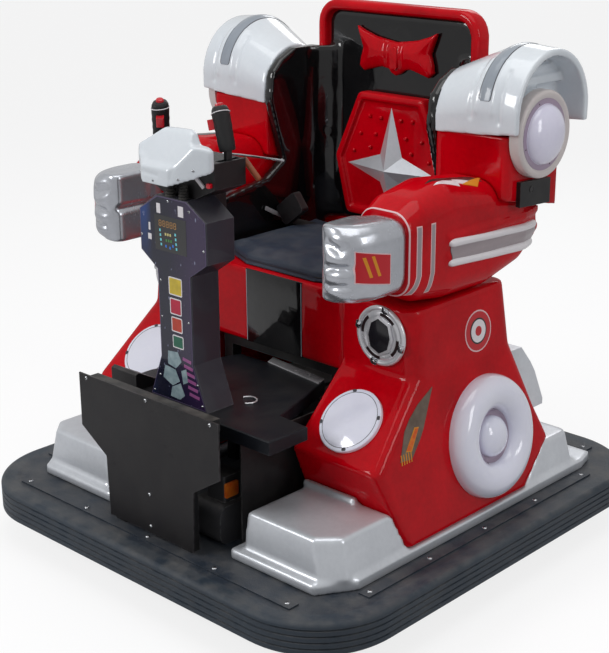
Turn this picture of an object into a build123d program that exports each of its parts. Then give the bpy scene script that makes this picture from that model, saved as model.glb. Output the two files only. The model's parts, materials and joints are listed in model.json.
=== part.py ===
from build123d import *
import math
import os

# Robot-shaped sit-on bumper car. Millimetres, +Z up, the front faces -Y, +X is the driver's left.
# The origin lies on the ground below the middle of the base.

os.makedirs("parts", exist_ok=True)

# Legs and feet, which set the size of the base
DECK_TOP = 150
LEG_IN = 232
LEG_WIDTH = 296
LEG_SLOPE = 68 / 364
LEDGE = 6
LEDGE_H = 27
LEG_BOTTOM = DECK_TOP + LEDGE_H
ANKLE_Z = DECK_TOP + 124
LEG_TOP = DECK_TOP + 556
LEG_FRONT = -150
SHIN_TOP_Z = DECK_TOP + 394
SHIN_LOW_Z = DECK_TOP + 222
SHIN_LOW_Y = -323
TOE_END = 516
HEEL_END = 520

# Base: deck plate with a rubber bumper round it
EDGE_SIDE = 101
EDGE_END = 136
HALF_X = LEG_IN + LEG_WIDTH + LEDGE + EDGE_SIDE
HALF_Y = TOE_END + EDGE_END
CORNER_R = 215
DECK_THICK = 12
DECK_BOTTOM = DECK_TOP - DECK_THICK
BUMPER_DEPTH = 40
BUMPER_RIBS = 4
RIB_PITCH = 15
RIB_FACE = 10
GROOVE = 5
BUMPER_ROLL = 14
BUMPER_CHIN = 8

# Clamp strips with their screws on the deck
SCREW_INSET = 75
SCREW_END_X = 173
SCREW_END_Y = 234
STRIP_OVERHANG = 20
STRIP_WIDTH = 30
STRIP_THICK = 4

# Chassis tubes below the deck
TUBE = 40
FRAME_INSET = 95
FRAME_X = HALF_X - FRAME_INSET
FRAME_Y = HALF_Y - FRAME_INSET
FRAME_BOTTOM = DECK_BOTTOM - TUBE

# Running gear
WHEEL_D = 124
WHEEL_W = 44
WHEEL_INSET = 205
WHEEL_X = HALF_X - WHEEL_INSET
WHEEL_GAP = 60
AXLE_R = 9
COLLAR = 7
MOTOR_D = 84
MOTOR_LEN = 190
HANGER_LOW = 24
RUN_CLEAR = 0.05
END_CLEAR = 0.3
FIT = 1
CASTER_INSET = 222
CASTER_Y = HALF_Y - CASTER_INSET
CASTER_D = 76
CASTER_W = 30
CASTER_TRAIL = 32
FORK_WALL = 5
FORK_CLEAR = 3
CROWN_THICK = 9
PLATE_THICK = 6
STEM_R = 10
HEAD_R = 26
HEAD_WIDE = 2 * HEAD_R + 16

# Silver feet: a toe box in front of the leg and a heel box behind it
SKIRT_MARGIN = 16
SKIRT_CHAMFER = 55
SKIRT_SIDE = 88
FOOT_IN = 245
FOOT_INSET = 9
FOOT_BACK = 19
TOE_TOP = DECK_TOP + 122
HEEL_TOP = DECK_TOP + 112
HEEL_BACK = 80
FOOT_LEAN = 22
TOE_CHAMFER = 45
HEEL_CHAMFER = 16
FOOT_ROUND = 9
FOOT_STEP = 5
FOOT_SLOPE = 7
LEDGE_ROUND = 5
JOIN_DEPTH = 90
TOE_BAR_OUT = 410
TOE_BAR_Y = -286
TOE_BAR_WIDE = 34
TOE_BAR_H = 16

# Silver panels behind the legs
CALF_TOP = DECK_TOP + 366
CALF_LOW = DECK_TOP + 190
CALF_MARGIN = 20
CALF_WIDTH = 207
CALF_SKIN = 14

# Lamps
LAMP_D = 162
LAMP_X = 352
LAMP_Y = -248
LAMP_STEP = 10
LAMP_RIM = 9
LENS_RISE = 8
RING_D = 305
RING_TUBE = 88
RING_RISE = 44
RING_DISH = 10
DOME_R = 54
DOME_RISE = 38
RING_Y = 90
RING_Z = DECK_TOP + 198
HUB_D = 146
HUB_X = 358
HUB_Z = DECK_TOP + 484
HUB_THICK = 9
HUB_FACE = 8
HUB_HEX = 46
HUB_RIM = 11
HUB_LUGS = 4
LUG_INSET = 6
LUG_DEEP = 12
LUG_WIDE = 22

# Seat
SEAT_FRONT = -146
SEAT_BOTTOM = DECK_TOP + 362
SEAT_TOP = LEG_TOP
SEAT_REAR = 330
STRIPE_HALF = 98
STRIPE_DEEP = 3
CUSHION_THICK = 36
CUSHION_HALF = 242
CUSHION_FRONT = -126
CUSHION_SIDE_FRONT = -72
CUSHION_FLAT = 120
CUSHION_BACK = 264
CUSHION_ROUND = 12

# Backrest
BACK_TOP = DECK_TOP + 1173
BACK_HALF = 268
BACK_WAIST = 253
BACK_WAIST_Z = DECK_TOP + 820
BACK_SHOULDER_Z = DECK_TOP + 1010
BACK_CORNER = 64
BACK_FRONT = 300
BACK_REAR = 354
RIM = 26
RIM_DEEP = 30
BACK_ROUND = 12
LINER_THICK = 8
LINER_OUT = 285
LINER_WALL = 26
LINER_LOW_FRONT = -120
COVE_X = 193
COVE_DEEP = 100
COVE_R = 90
COVE_TUCK = 6
EMBLEM_Z = DECK_TOP + 1048
EMBLEM_HALF = 146
EMBLEM_THICK = 20
EMBLEM_TIP = 9
EMBLEM_ROUND = 6
PANEL_TOP = DECK_TOP + 944
PANEL_WIDE_Z = DECK_TOP + 765
PANEL_LOW = DECK_TOP + 612
PANEL_HALF = 190
PANEL_TOP_HALF = 108
PANEL_LOW_HALF = 150
PANEL_THICK = 36
PANEL_RIM = 20
PANEL_CORNER = 16
PANEL_ROUND = 6
PANEL_DEEP = 10
STAR_Z = DECK_TOP + 748
STAR_TOP = 164
STAR_SIDE = 150
STAR_LOW = 112
STAR_NOTCH = 37
STAR_RISE = 30

# Arms, fists and shoulders
ARM_IN = 300
ARM_OUT = 474
ARM_FRONT = -190
ARM_RIDGE = 6
RIDGE_START = -62
RIDGE_H = 17
RIDGE_HEIGHTS = (706, 662)
FIST_IN = 340
FIST_OUT = 464
FIST_FRONT = -362
FIST_BOTTOM = DECK_TOP + 612
FIST_TOP = DECK_TOP + 786
FIST_ROUND = 36
FIST_NOSE = 32
FINGERS = 4
FINGER_GROOVE = 5
FINGER_END = 40
SHOULDER_IN = LINER_OUT
SHOULDER_OUT = 492
SHOULDER_FRONT = 124
SHOULDER_REAR = 345
SHOULDER_TOP = DECK_TOP + 920
SHOULDER_LOW_FRONT = DECK_TOP + 772
SHOULDER_LOW_REAR = DECK_TOP + 728
SHOULDER_ROUND = 18
BRACKET_THICK = 12
PAD_IN = 283
PAD_MID = 432
PAD_OUT = 522
PAD_WALL = 17
PAD_CAVE = 82
PAD_STEPS = 3
PAD_STEP_H = 22
PAD_STEP_DEEP = 8
PAD_FLOOR = 40
SIDE_LAMP_Y = 234
SIDE_LAMP_Z = DECK_TOP + 918
SIDE_LAMP_R = 104
SIDE_DOME_R = 81
SIDE_DOME_RISE = 30
SIDE_LAMP_BEVEL = 6

# Foot platform, front plate and control column
PLATE_Y = -TOE_END - 50
PLATE_TOP = DECK_TOP + 356
PLATE_HALF = 244
PLATE_LOW_HALF = 150
PLATE_CHAMFER_TOP = DECK_TOP + 220
PLATE_CHAMFER_LOW = DECK_TOP + 163
PLATE_LOW = DECK_TOP + 10
SHEET = 4
POST = 30
POST_X = 118
BAY_X = 210
BAY_FRONT = -470
BAY_REAR = -160
PLATFORM_TOP = DECK_TOP + 310
PLATFORM_THICK = 33
PLATFORM_FRONT = -484
WING_OUT = 319
WING_REAR = -361
PLATFORM_HALF = 228
PLATFORM_TAIL = 148
PLATFORM_REAR = -120
COLUMN_FRONT = -465
COLUMN_DEPTH = 85
COLUMN_FOOT = 98
COLUMN_NECK = 57
COLUMN_HEAD = 113
COLUMN_CROWN = 52
COLUMN_TOP = DECK_TOP + 806
COLUMN_EDGE = 3
DISPLAY_X = -6
DISPLAY_Z = DECK_TOP + 719
DISPLAY_W = 108
DISPLAY_H = 84
DISPLAY_DEEP = 5
PEDAL_X = -182
PEDAL_W = 92
PEDAL_FRONT = -480
PEDAL_LEN = 80
PEDAL_TOP = 44
PEDAL_NOSE = 40
PEDAL_SOLE = 6
PEDAL_TOE = 10

# Control unit, batteries and seat frame
UNIT_X = 112
UNIT_Y = -432
UNIT_WIDE = 96
UNIT_LEN = 116
UNIT_H = 96
UNIT_ROUND = 24
BOX_WIDE = 62
BOX_LEN = 52
BOX_H = 66
BOX_ROUND = 5
BATTERY_X = 95
BATTERY_Y = 110
BATTERY_WIDE = 176
BATTERY_LEN = 330
BATTERY_H = 215
BATTERY_ROUND = 6
SEAT_POST_INSET = 42
SEAT_POST_FRONT = 38
SEAT_POST_REAR = 20

# Lap belt
BELT_Y = 168
BELT_WIDE = 46
BELT_THICK = 3
BUCKLE_W = 84
BUCKLE_H = 58
BUCKLE_D = 24
BUCKLE_ROUND = 8
BUCKLE_RISE = 47
BUCKLE_TURN = 38.5

# Lever console, levers and cover
CONSOLE_HALF = 118
CONSOLE_TOP = DECK_TOP + 895
CONSOLE_LOW = DECK_TOP + 836
CONSOLE_REAR = -345
CONSOLE_TAIL = 36
CONSOLE_WALL = 8
COVER_REAR = -440
COVER_FRONT = -512
COVER_NOSE = 44
COVER_HALF = 120
LEVER_X = 104
LEVER_Y = -385
LEVER_PIVOT_Z = DECK_TOP + 862
LEVER_T = 10
LEVER_BOSS_R = 13
PIN_R = 5
SLOT_CLEAR = 3
GRIP_START = DECK_TOP + 914
GRIP_LEN = 101
GRIP_R = 19
GRIP_DEEP = 22
GRIP_LEAN = 14
BUTTON_R = 9
BUTTON_H = 6
TRIGGER_W = 18
TRIGGER_H = 24
TRIGGER_OUT = 9
TRIGGER_TURN = 45
RIGHT_LEVER_LEAN = 13


def save(part, name):
    part.label = name
    export_step(part, f"parts/{name}.step")


def save_pair(part, name):
    """The left piece as modelled, and its mirror image on the right."""
    with BuildPart() as other:
        mirror(part, about=Plane.YZ)
    save(part, f"{name}_left")
    save(other.part, f"{name}_right")


def save_both(part, name):
    """Left and right pieces that share one node."""
    with BuildPart() as both:
        add(part)
        mirror(part, about=Plane.YZ)
    save(both.part, name)


def side_plane(x):
    """A sketch plane facing +X, where local x is Y and local y is Z."""
    return Plane.YZ.offset(x)


def front_plane(y):
    """A sketch plane facing -Y, where local x is X and local y is Z."""
    return Plane.XZ.offset(-y)


def cap_middle(radius, low, high):
    """The point halfway along the section of a domed cap, from its edge to its top on the axis."""
    sphere = (radius ** 2 + (high - low) ** 2) / (2 * (high - low))
    half = math.asin(min(1, radius / sphere)) / 2
    return (sphere * math.sin(half), high - sphere * (1 - math.cos(half)))


def leg_out(z):
    """The leg's outer face leans in towards the top, more gently above the shin."""
    if z <= SHIN_TOP_Z:
        return LEG_IN + LEG_WIDTH - (z - LEG_BOTTOM) * LEG_SLOPE
    return leg_out(SHIN_TOP_Z) - (z - SHIN_TOP_Z) * LEG_SLOPE / 2


# Deck plate
with BuildPart() as deck:
    with BuildSketch(Plane.XY.offset(DECK_BOTTOM)):
        RectangleRounded(2 * (HALF_X - BUMPER_DEPTH), 2 * (HALF_Y - BUMPER_DEPTH), CORNER_R - BUMPER_DEPTH)
    extrude(amount=DECK_THICK)
save(deck.part, "deck")

# Rubber bumper: a ribbed section with a rolled top, swept round the deck edge
bumper_low = DECK_TOP - BUMPER_CHIN - BUMPER_RIBS * RIB_PITCH - BUMPER_ROLL
rib_outline = [(-BUMPER_DEPTH, bumper_low), (-2 * GROOVE, bumper_low), (0, bumper_low + BUMPER_CHIN)]
for i in range(BUMPER_RIBS):
    rib_low = bumper_low + BUMPER_CHIN + i * RIB_PITCH
    rib_outline += [(0, rib_low + RIB_FACE), (-GROOVE, (rib_low + RIB_FACE + rib_low + RIB_PITCH) / 2),
                    (0, rib_low + RIB_PITCH)]
with BuildPart() as bumper:
    with BuildLine() as bumper_path:
        east = Line((HALF_X, 0), (HALF_X, HALF_Y - CORNER_R))
        JernArc(start=east @ 1, tangent=east % 1, radius=CORNER_R, arc_size=90)
        north = Line((HALF_X - CORNER_R, HALF_Y), (CORNER_R - HALF_X, HALF_Y))
        JernArc(start=north @ 1, tangent=north % 1, radius=CORNER_R, arc_size=90)
        Line((-HALF_X, HALF_Y - CORNER_R), (-HALF_X, 0))
    with BuildSketch(Plane.XZ.move(Location((HALF_X, 0, 0)))):
        with BuildLine():
            ribs = Polyline(rib_outline)
            roll = JernArc(start=ribs @ 1, tangent=(0, 1), radius=BUMPER_ROLL, arc_size=90)
            Polyline(roll @ 1, (-BUMPER_DEPTH, DECK_TOP), (-BUMPER_DEPTH, bumper_low))
        make_face()
    sweep(path=bumper_path.line)
    mirror(about=Plane.XZ)
save(bumper.part, "bumper_rubber")

# Clamp strips along the edge: half length, centre, turned
strip_x = HALF_X - SCREW_END_X + STRIP_OVERHANG
strip_y = HALF_Y - SCREW_END_Y + STRIP_OVERHANG
strips = [(strip_x, (0, SCREW_INSET - HALF_Y), 0), (strip_x, (0, HALF_Y - SCREW_INSET), 0),
          (strip_y, (SCREW_INSET - HALF_X, 0), 90), (strip_y, (HALF_X - SCREW_INSET, 0), 90)]
with BuildPart() as edge_strips:
    for half_length, centre, turn in strips:
        with BuildSketch(Plane.XY.offset(DECK_TOP)):
            with Locations(Location((centre[0], centre[1], 0), (0, 0, turn))):
                Rectangle(2 * half_length, STRIP_WIDTH)
        extrude(amount=STRIP_THICK)
save(edge_strips.part, "edge_strips")

# Chassis: a rectangle of square tube, two motor members and two caster rails with bored plates
caster_plate_low = FRAME_BOTTOM - PLATE_THICK
with BuildPart() as frame:
    with BuildSketch(Plane.XY.offset(FRAME_BOTTOM)):
        Rectangle(2 * FRAME_X, 2 * FRAME_Y)
        Rectangle(2 * (FRAME_X - TUBE), 2 * (FRAME_Y - TUBE), mode=Mode.SUBTRACT)
        with Locations((0, -MOTOR_D), (0, MOTOR_D)):
            Rectangle(2 * FRAME_X - TUBE, TUBE)
        with Locations((0, -CASTER_Y), (0, CASTER_Y)):
            Rectangle(2 * FRAME_X - TUBE, HEAD_WIDE)
    extrude(amount=TUBE)
    with BuildSketch(Plane.XY.offset(caster_plate_low)):
        with Locations((0, -CASTER_Y), (0, CASTER_Y)):
            RectangleRounded(HEAD_WIDE + 8, HEAD_WIDE, 8)
    extrude(amount=PLATE_THICK)
    with BuildSketch(Plane.XY.offset(caster_plate_low)):
        with Locations((0, -CASTER_Y), (0, CASTER_Y)):
            Circle(STEM_R + RUN_CLEAR)
    extrude(amount=PLATE_THICK + TUBE, mode=Mode.SUBTRACT)
save(frame.part, "chassis_frame")

# Gear motors: a drum on a hanging bracket, with the axle that carries the drive wheel
motor_out = WHEEL_X - WHEEL_W / 2 - WHEEL_GAP
with BuildPart() as motor:
    with BuildSketch(side_plane(motor_out - MOTOR_LEN)):
        with Locations((0, WHEEL_D / 2)):
            Circle(MOTOR_D / 2)
    extrude(amount=MOTOR_LEN)
    with BuildSketch(side_plane(motor_out)):
        with Locations((0, (FRAME_BOTTOM + HANGER_LOW) / 2)):
            RectangleRounded(2 * MOTOR_D + TUBE, FRAME_BOTTOM - HANGER_LOW, 12)
    extrude(amount=PLATE_THICK)
    with BuildSketch(side_plane(motor_out)):
        with Locations((0, WHEEL_D / 2)):
            Circle(AXLE_R)
    extrude(amount=WHEEL_GAP + WHEEL_W + COLLAR)
    with BuildSketch(side_plane(motor_out)):
        with Locations((0, WHEEL_D / 2)):
            Circle(AXLE_R + COLLAR)
    extrude(amount=WHEEL_GAP - END_CLEAR)
save_both(motor.part, "drive_motors")

# Drive wheels: rubber tread on a dished rim, drawn as half a section about the axle
# distance from the wheel's side, radius
rim_half = [(0, AXLE_R + RUN_CLEAR), (0, AXLE_R + 11), (8, AXLE_R + 15), (8, WHEEL_D / 2 - 18),
            (0, WHEEL_D / 2 - 15), (0, WHEEL_D / 2 - 5), (5, WHEEL_D / 2)]
with BuildPart() as drive_wheel:
    with BuildSketch(front_plane(0)):
        with BuildLine():
            low = WHEEL_X - WHEEL_W / 2
            mid_z = WHEEL_D / 2
            Polyline([(low + u, mid_z + r) for u, r in rim_half]
                     + [(low + WHEEL_W - u, mid_z + r) for u, r in reversed(rim_half)], close=True)
        make_face()
    revolve(axis=Axis((0, 0, WHEEL_D / 2), (1, 0, 0)))
save_pair(drive_wheel.part, "drive_wheel")

# Casters: a swivel fork with a trailing wheel, under the front and rear rails
cheek_in = CASTER_W / 2 + FORK_CLEAR
crown_top = caster_plate_low - END_CLEAR
crown_low = crown_top - CROWN_THICK
for name, caster_y in (("front", -CASTER_Y), ("rear", CASTER_Y)):
    wheel_y = caster_y + CASTER_TRAIL
    with BuildPart() as fork:
        with BuildSketch(Plane.XY.offset(crown_low)):
            with Locations((0, caster_y + PLATE_THICK)):
                RectangleRounded(2 * (cheek_in + FORK_WALL), HEAD_WIDE - 4, 10)
        extrude(amount=CROWN_THICK)
        with BuildSketch(Plane.XY.offset(crown_top)):
            with Locations((0, caster_y)):
                Circle(STEM_R)
        extrude(amount=PLATE_THICK + TUBE - 2)
        for x in (cheek_in, -cheek_in - FORK_WALL):
            with BuildSketch(side_plane(x)):
                with BuildLine():
                    Polyline((wheel_y - 48, crown_low + 1), (wheel_y + 4, crown_low + 1),
                             (wheel_y + 13, CASTER_D / 2), (wheel_y + 9, CASTER_D / 2 - 12),
                             (wheel_y - 9, CASTER_D / 2 - 12), close=True)
                make_face()
            extrude(amount=FORK_WALL)
        with BuildSketch(side_plane(-cheek_in)):
            with Locations((wheel_y, CASTER_D / 2)):
                Circle(PIN_R)
        extrude(amount=2 * cheek_in)
    save(fork.part, f"caster_fork_{name}")
    with BuildPart() as caster_wheel:
        with BuildSketch(side_plane(-CASTER_W / 2)):
            with Locations((wheel_y, CASTER_D / 2)):
                Circle(CASTER_D / 2)
                Circle(PIN_R + RUN_CLEAR, mode=Mode.SUBTRACT)
        extrude(amount=CASTER_W)
        fillet(caster_wheel.edges().filter_by(GeomType.CIRCLE).group_by(SortBy.RADIUS)[-1], 4)
    save(caster_wheel.part, f"caster_wheel_{name}")

# Leg shell: a loft through level sections that are rounded on the outer side
# height, front, rear, outer corner radius
leg_levels = [(LEG_BOTTOM, -246, 219, 14), (ANKLE_Z, -284, 338, 18), (SHIN_LOW_Z, SHIN_LOW_Y, 293, 23),
              (SHIN_TOP_Z, LEG_FRONT, 230, 34), (LEG_TOP, LEG_FRONT, 220, 42)]
with BuildPart() as leg:
    for height, front, rear, corner in leg_levels:
        with BuildSketch(Plane.XY.offset(height)) as level:
            with BuildLine():
                out = leg_out(height)
                Polyline((LEG_IN, front), (out, front), (out, rear), (LEG_IN, rear), close=True)
            make_face()
            fillet(level.vertices().group_by(Axis.X)[-1], corner)
    loft(ruled=True)
save_pair(leg.part, "leg_shell")

# Calf panels: silver strips that follow the back of the legs
# distance along Y, height
calf_outline = [(235, CALF_TOP), (279, CALF_TOP), (330, DECK_TOP + 292), (372, DECK_TOP + 205), (372, CALF_LOW),
                (300, CALF_LOW)]
with BuildPart() as calf:
    with BuildSketch(side_plane(LEG_IN + CALF_MARGIN)):
        with BuildLine():
            Polyline(calf_outline, close=True)
        make_face()
    extrude(amount=CALF_WIDTH)
    with BuildSketch(front_plane(HALF_Y)):
        with BuildLine():
            Polyline((leg_out(CALF_LOW) - CALF_SKIN, CALF_LOW), (leg_out(CALF_TOP) - CALF_SKIN, CALF_TOP),
                     (HALF_X, CALF_TOP), (HALF_X, CALF_LOW), close=True)
        make_face()
    extrude(amount=HALF_Y, mode=Mode.SUBTRACT)
    add(leg.part, mode=Mode.SUBTRACT)
    calf_body = calf.part.solids().sort_by(SortBy.VOLUME)[-1]
with BuildPart() as calf_panel:
    add(calf_body)
save_both(calf_panel.part, "calf_panels")

# Silver foot: a ledge under the whole leg, with a toe box in front and a heel box behind
skirt_in = LEG_IN - SKIRT_MARGIN
skirt_out = LEG_IN + LEG_WIDTH + LEDGE
foot_out = skirt_out - FOOT_INSET


def foot_box(top, end, join, chamfer, sign):
    """A leaning box: end is its far face, join the face inside the leg, sign the way it points."""
    with BuildPart() as box:
        for z, inner, outer, far in ((LEG_BOTTOM, FOOT_IN, foot_out, end),
                                     (top, FOOT_IN + FOOT_STEP, foot_out - FOOT_LEAN, end - sign * FOOT_SLOPE)):
            with BuildSketch(Plane.XY.offset(z)):
                with BuildLine():
                    Polyline((inner, far), (outer - chamfer, far), (outer, far - sign * chamfer),
                             (outer, join), (inner, join), close=True)
                make_face()
        loft(ruled=True)
        fillet(box.edges().group_by(Axis.Z)[-1], FOOT_ROUND)
    return box.part


toe_box = foot_box(TOE_TOP, FOOT_BACK - TOE_END, LEG_FRONT - JOIN_DEPTH, TOE_CHAMFER, -1)
heel_box = foot_box(HEEL_TOP, HEEL_END - HEEL_BACK, leg_levels[0][2] - LEDGE_ROUND, HEEL_CHAMFER, 1)
with BuildPart() as foot:
    with BuildSketch(Plane.XY.offset(DECK_TOP)):
        with BuildLine():
            Polyline((skirt_in, -TOE_END), (skirt_out - SKIRT_CHAMFER, -TOE_END),
                     (skirt_out, SKIRT_SIDE - TOE_END), (skirt_out, HEEL_END - SKIRT_CHAMFER),
                     (skirt_out - SKIRT_MARGIN, HEEL_END), (skirt_in, HEEL_END), close=True)
        make_face()
    extrude(amount=LEDGE_H)
    fillet(foot.faces().sort_by(Axis.Z)[-1].edges(), LEDGE_ROUND)
    add(toe_box)
    add(heel_box)
    with BuildSketch(Plane.XY.offset(TOE_TOP)):
        with Locations(((FOOT_IN + TOE_BAR_OUT) / 2, TOE_BAR_Y)):
            Rectangle(TOE_BAR_OUT - FOOT_IN, TOE_BAR_WIDE)
    extrude(amount=TOE_BAR_H)
    add(leg.part, mode=Mode.SUBTRACT)
foot_body = foot.part.solids().sort_by(SortBy.VOLUME)[-1]
with BuildPart() as foot_only:
    add(foot_body)
save_pair(foot_only.part, "foot")

# Shin lamps: round bowls lying on the sloping shin
shin_slope = math.atan2(SHIN_TOP_Z - SHIN_LOW_Z, LEG_FRONT - SHIN_LOW_Y)
shin_normal = Vector(0, -math.sin(shin_slope), math.cos(shin_slope))
lamp_z = SHIN_LOW_Z + (LAMP_Y - SHIN_LOW_Y) * math.tan(shin_slope)
shin_plane = Plane(origin=(LAMP_X, LAMP_Y, lamp_z), x_dir=(1, 0, 0), z_dir=shin_normal)
lamp_section = Plane(origin=shin_plane.origin, x_dir=shin_plane.x_dir, z_dir=-shin_plane.y_dir)
lens_r = LAMP_D / 2 - LAMP_RIM
with BuildPart() as shin_lamp:
    with BuildSketch(lamp_section):
        with BuildLine():
            lens_mid = cap_middle(lens_r, LAMP_STEP, LAMP_STEP + LENS_RISE)
            Polyline((0, 0), (LAMP_D / 2, 0), (LAMP_D / 2, LAMP_STEP - 2), (LAMP_D / 2 - 2, LAMP_STEP),
                     (lens_r, LAMP_STEP))
            ThreePointArc((lens_r, LAMP_STEP), lens_mid, (0, LAMP_STEP + LENS_RISE))
            Line((0, LAMP_STEP + LENS_RISE), (0, 0))
        make_face()
    revolve(axis=Axis(shin_plane.origin, shin_plane.z_dir))
save_both(shin_lamp.part, "shin_lamps")

# Ring lamps: a fat white ring with a small dome in its middle, on the outer side of each leg
side_lean = math.atan(LEG_SLOPE)
ring_plane = Plane(origin=(leg_out(RING_Z), RING_Y, RING_Z), x_dir=(0, 1, 0),
                   z_dir=(math.cos(side_lean), 0, math.sin(side_lean)))
ring_section = Plane(origin=ring_plane.origin, x_dir=ring_plane.x_dir, z_dir=-ring_plane.y_dir)
ring_eye = RING_D / 2 - RING_TUBE
with BuildPart() as ring_lamp:
    with BuildSketch(ring_section):
        with BuildLine():
            Line((0, 0), (RING_D / 2, 0))
            ThreePointArc((RING_D / 2, 0), (RING_D / 2 - RING_TUBE / 2, RING_RISE), (ring_eye, RING_DISH))
            Line((ring_eye, RING_DISH), (DOME_R, RING_DISH))
            ThreePointArc((DOME_R, RING_DISH), cap_middle(DOME_R, RING_DISH, DOME_RISE), (0, DOME_RISE))
            Line((0, DOME_RISE), (0, 0))
        make_face()
    revolve(axis=Axis(ring_plane.origin, ring_plane.z_dir))
save_both(ring_lamp.part, "ring_lamps")

# Hubs: chrome bosses with a six-sided dark well and four lugs, where the leg meets the seat
with BuildPart() as hub:
    with BuildSketch(front_plane(LEG_FRONT)):
        with Locations((HUB_X, HUB_Z)):
            Circle(HUB_D / 2)
    extrude(amount=HUB_THICK)
    with BuildSketch(front_plane(LEG_FRONT - HUB_THICK)):
        with Locations((HUB_X, HUB_Z)):
            Circle(HUB_D / 2 - HUB_RIM)
            RegularPolygon(HUB_HEX, 6, rotation=30, mode=Mode.SUBTRACT)
    extrude(amount=HUB_FACE)
    with BuildSketch(front_plane(LEG_FRONT - HUB_THICK)):
        with Locations((HUB_X, HUB_Z)):
            with PolarLocations(HUB_D / 2 - LUG_INSET, HUB_LUGS, start_angle=45):
                Rectangle(LUG_DEEP, LUG_WIDE)
    extrude(amount=HUB_FACE / 2)
save_both(hub.part, "hubs")

# Seat tub between the legs, with a shallow recess for the black stripe down its front
with BuildPart() as seat_tub:
    with BuildSketch(Plane.XY.offset(SEAT_BOTTOM)):
        with Locations((0, (SEAT_FRONT + SEAT_REAR) / 2)):
            Rectangle(2 * LEG_IN, SEAT_REAR - SEAT_FRONT)
    extrude(amount=SEAT_TOP - SEAT_BOTTOM)
    fillet(seat_tub.edges().filter_by(Axis.X).group_by(Axis.Y)[0], 6)
    with BuildSketch(front_plane(SEAT_FRONT)):
        with Locations((0, (SEAT_TOP + SEAT_BOTTOM) / 2)):
            Rectangle(2 * STRIPE_HALF, SEAT_TOP - SEAT_BOTTOM)
    extrude(amount=-STRIPE_DEEP, mode=Mode.SUBTRACT)
save(seat_tub.part, "seat_tub")

# Seat cushion: a padded slab with a rounded top edge
with BuildPart() as cushion:
    with BuildSketch(Plane.XY.offset(SEAT_TOP)):
        with BuildLine():
            Polyline((CUSHION_HALF, CUSHION_BACK), (CUSHION_HALF, CUSHION_SIDE_FRONT),
                     (CUSHION_FLAT, CUSHION_FRONT), (-CUSHION_FLAT, CUSHION_FRONT),
                     (-CUSHION_HALF, CUSHION_SIDE_FRONT), (-CUSHION_HALF, CUSHION_BACK), close=True)
        make_face()
    extrude(amount=CUSHION_THICK)
    fillet(cushion.faces().sort_by(Axis.Z)[-1].edges(), CUSHION_ROUND)
save(cushion.part, "seat_cushion")

# Backrest: a moulded red shell whose front is recessed inside a rim
# half width, height
back_half = [(BACK_HALF, SEAT_TOP), (BACK_WAIST, BACK_WAIST_Z), (BACK_HALF, BACK_SHOULDER_Z), (BACK_HALF, BACK_TOP)]
back_outline = back_half + [(-x, z) for x, z in reversed(back_half)]
with BuildPart() as backrest:
    with BuildSketch(front_plane(BACK_REAR)) as back_face:
        with BuildLine():
            Polyline(back_outline, close=True)
        make_face()
        fillet(back_face.vertices().group_by(Axis.Y)[-1], BACK_CORNER)
    extrude(amount=BACK_REAR - BACK_FRONT)
    fillet(backrest.faces().sort_by(Axis.Y)[0].edges().sort_by(Axis.Z)[1:], BACK_ROUND)
    fillet(backrest.faces().sort_by(Axis.Y)[-1].edges().sort_by(Axis.Z)[1:], BACK_ROUND)
    with BuildSketch(front_plane(BACK_FRONT)) as recess_face:
        with BuildLine():
            Polyline(back_outline, close=True)
        make_face()
        fillet(recess_face.vertices().group_by(Axis.Y)[-1], BACK_CORNER)
        offset(amount=-RIM, mode=Mode.REPLACE)
    extrude(amount=-RIM_DEEP, mode=Mode.SUBTRACT)
save(backrest.part, "backrest_shell")

# Black liner: a sheet in the recess, and coved walls that run forward along both sides of the seat
liner_y = BACK_FRONT + RIM_DEEP
liner_face_y = liner_y - LINER_THICK
# distance along Y, height above the deck
wall_outline = [(BACK_REAR, 556), (BACK_REAR, 1051), (206, 1051), (157, 1027), (123, 994), (112, 923),
                (146, 810), (162, 760), (100, 720), (-60, 690), (LINER_LOW_FRONT, 650), (LINER_LOW_FRONT, 556)]
with BuildPart() as liner_wall:
    with BuildSketch(Plane.XY.offset(LEG_TOP)):
        with BuildLine():
            wall_in = LINER_OUT - LINER_WALL
            front_run = Polyline((LINER_OUT, LINER_LOW_FRONT), (LINER_OUT, BACK_FRONT),
                                 (BACK_WAIST - COVE_TUCK, BACK_FRONT), (BACK_WAIST - COVE_TUCK, liner_face_y),
                                 (COVE_X, liner_face_y))
            cove = RadiusArc(front_run @ 1, (wall_in, liner_face_y - COVE_DEEP), COVE_R)
            Polyline(cove @ 1, (wall_in, LINER_LOW_FRONT), (LINER_OUT, LINER_LOW_FRONT))
        make_face()
    extrude(amount=BACK_TOP - LEG_TOP)
    with BuildSketch(side_plane(0)):
        with BuildLine():
            Polyline([(y, DECK_TOP + z) for y, z in wall_outline], close=True)
        make_face()
    extrude(amount=LINER_OUT, mode=Mode.INTERSECT)
    add(backrest.part, mode=Mode.SUBTRACT)
with BuildPart() as liner:
    with BuildSketch(front_plane(liner_y)) as liner_face:
        with BuildLine():
            Polyline(back_outline, close=True)
        make_face()
        fillet(liner_face.vertices().group_by(Axis.Y)[-1], BACK_CORNER)
        offset(amount=-RIM - FIT, mode=Mode.REPLACE)
    extrude(amount=LINER_THICK)
    add(liner_wall.part)
    mirror(liner_wall.part, about=Plane.YZ)
save(liner.part, "backrest_liner")

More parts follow.
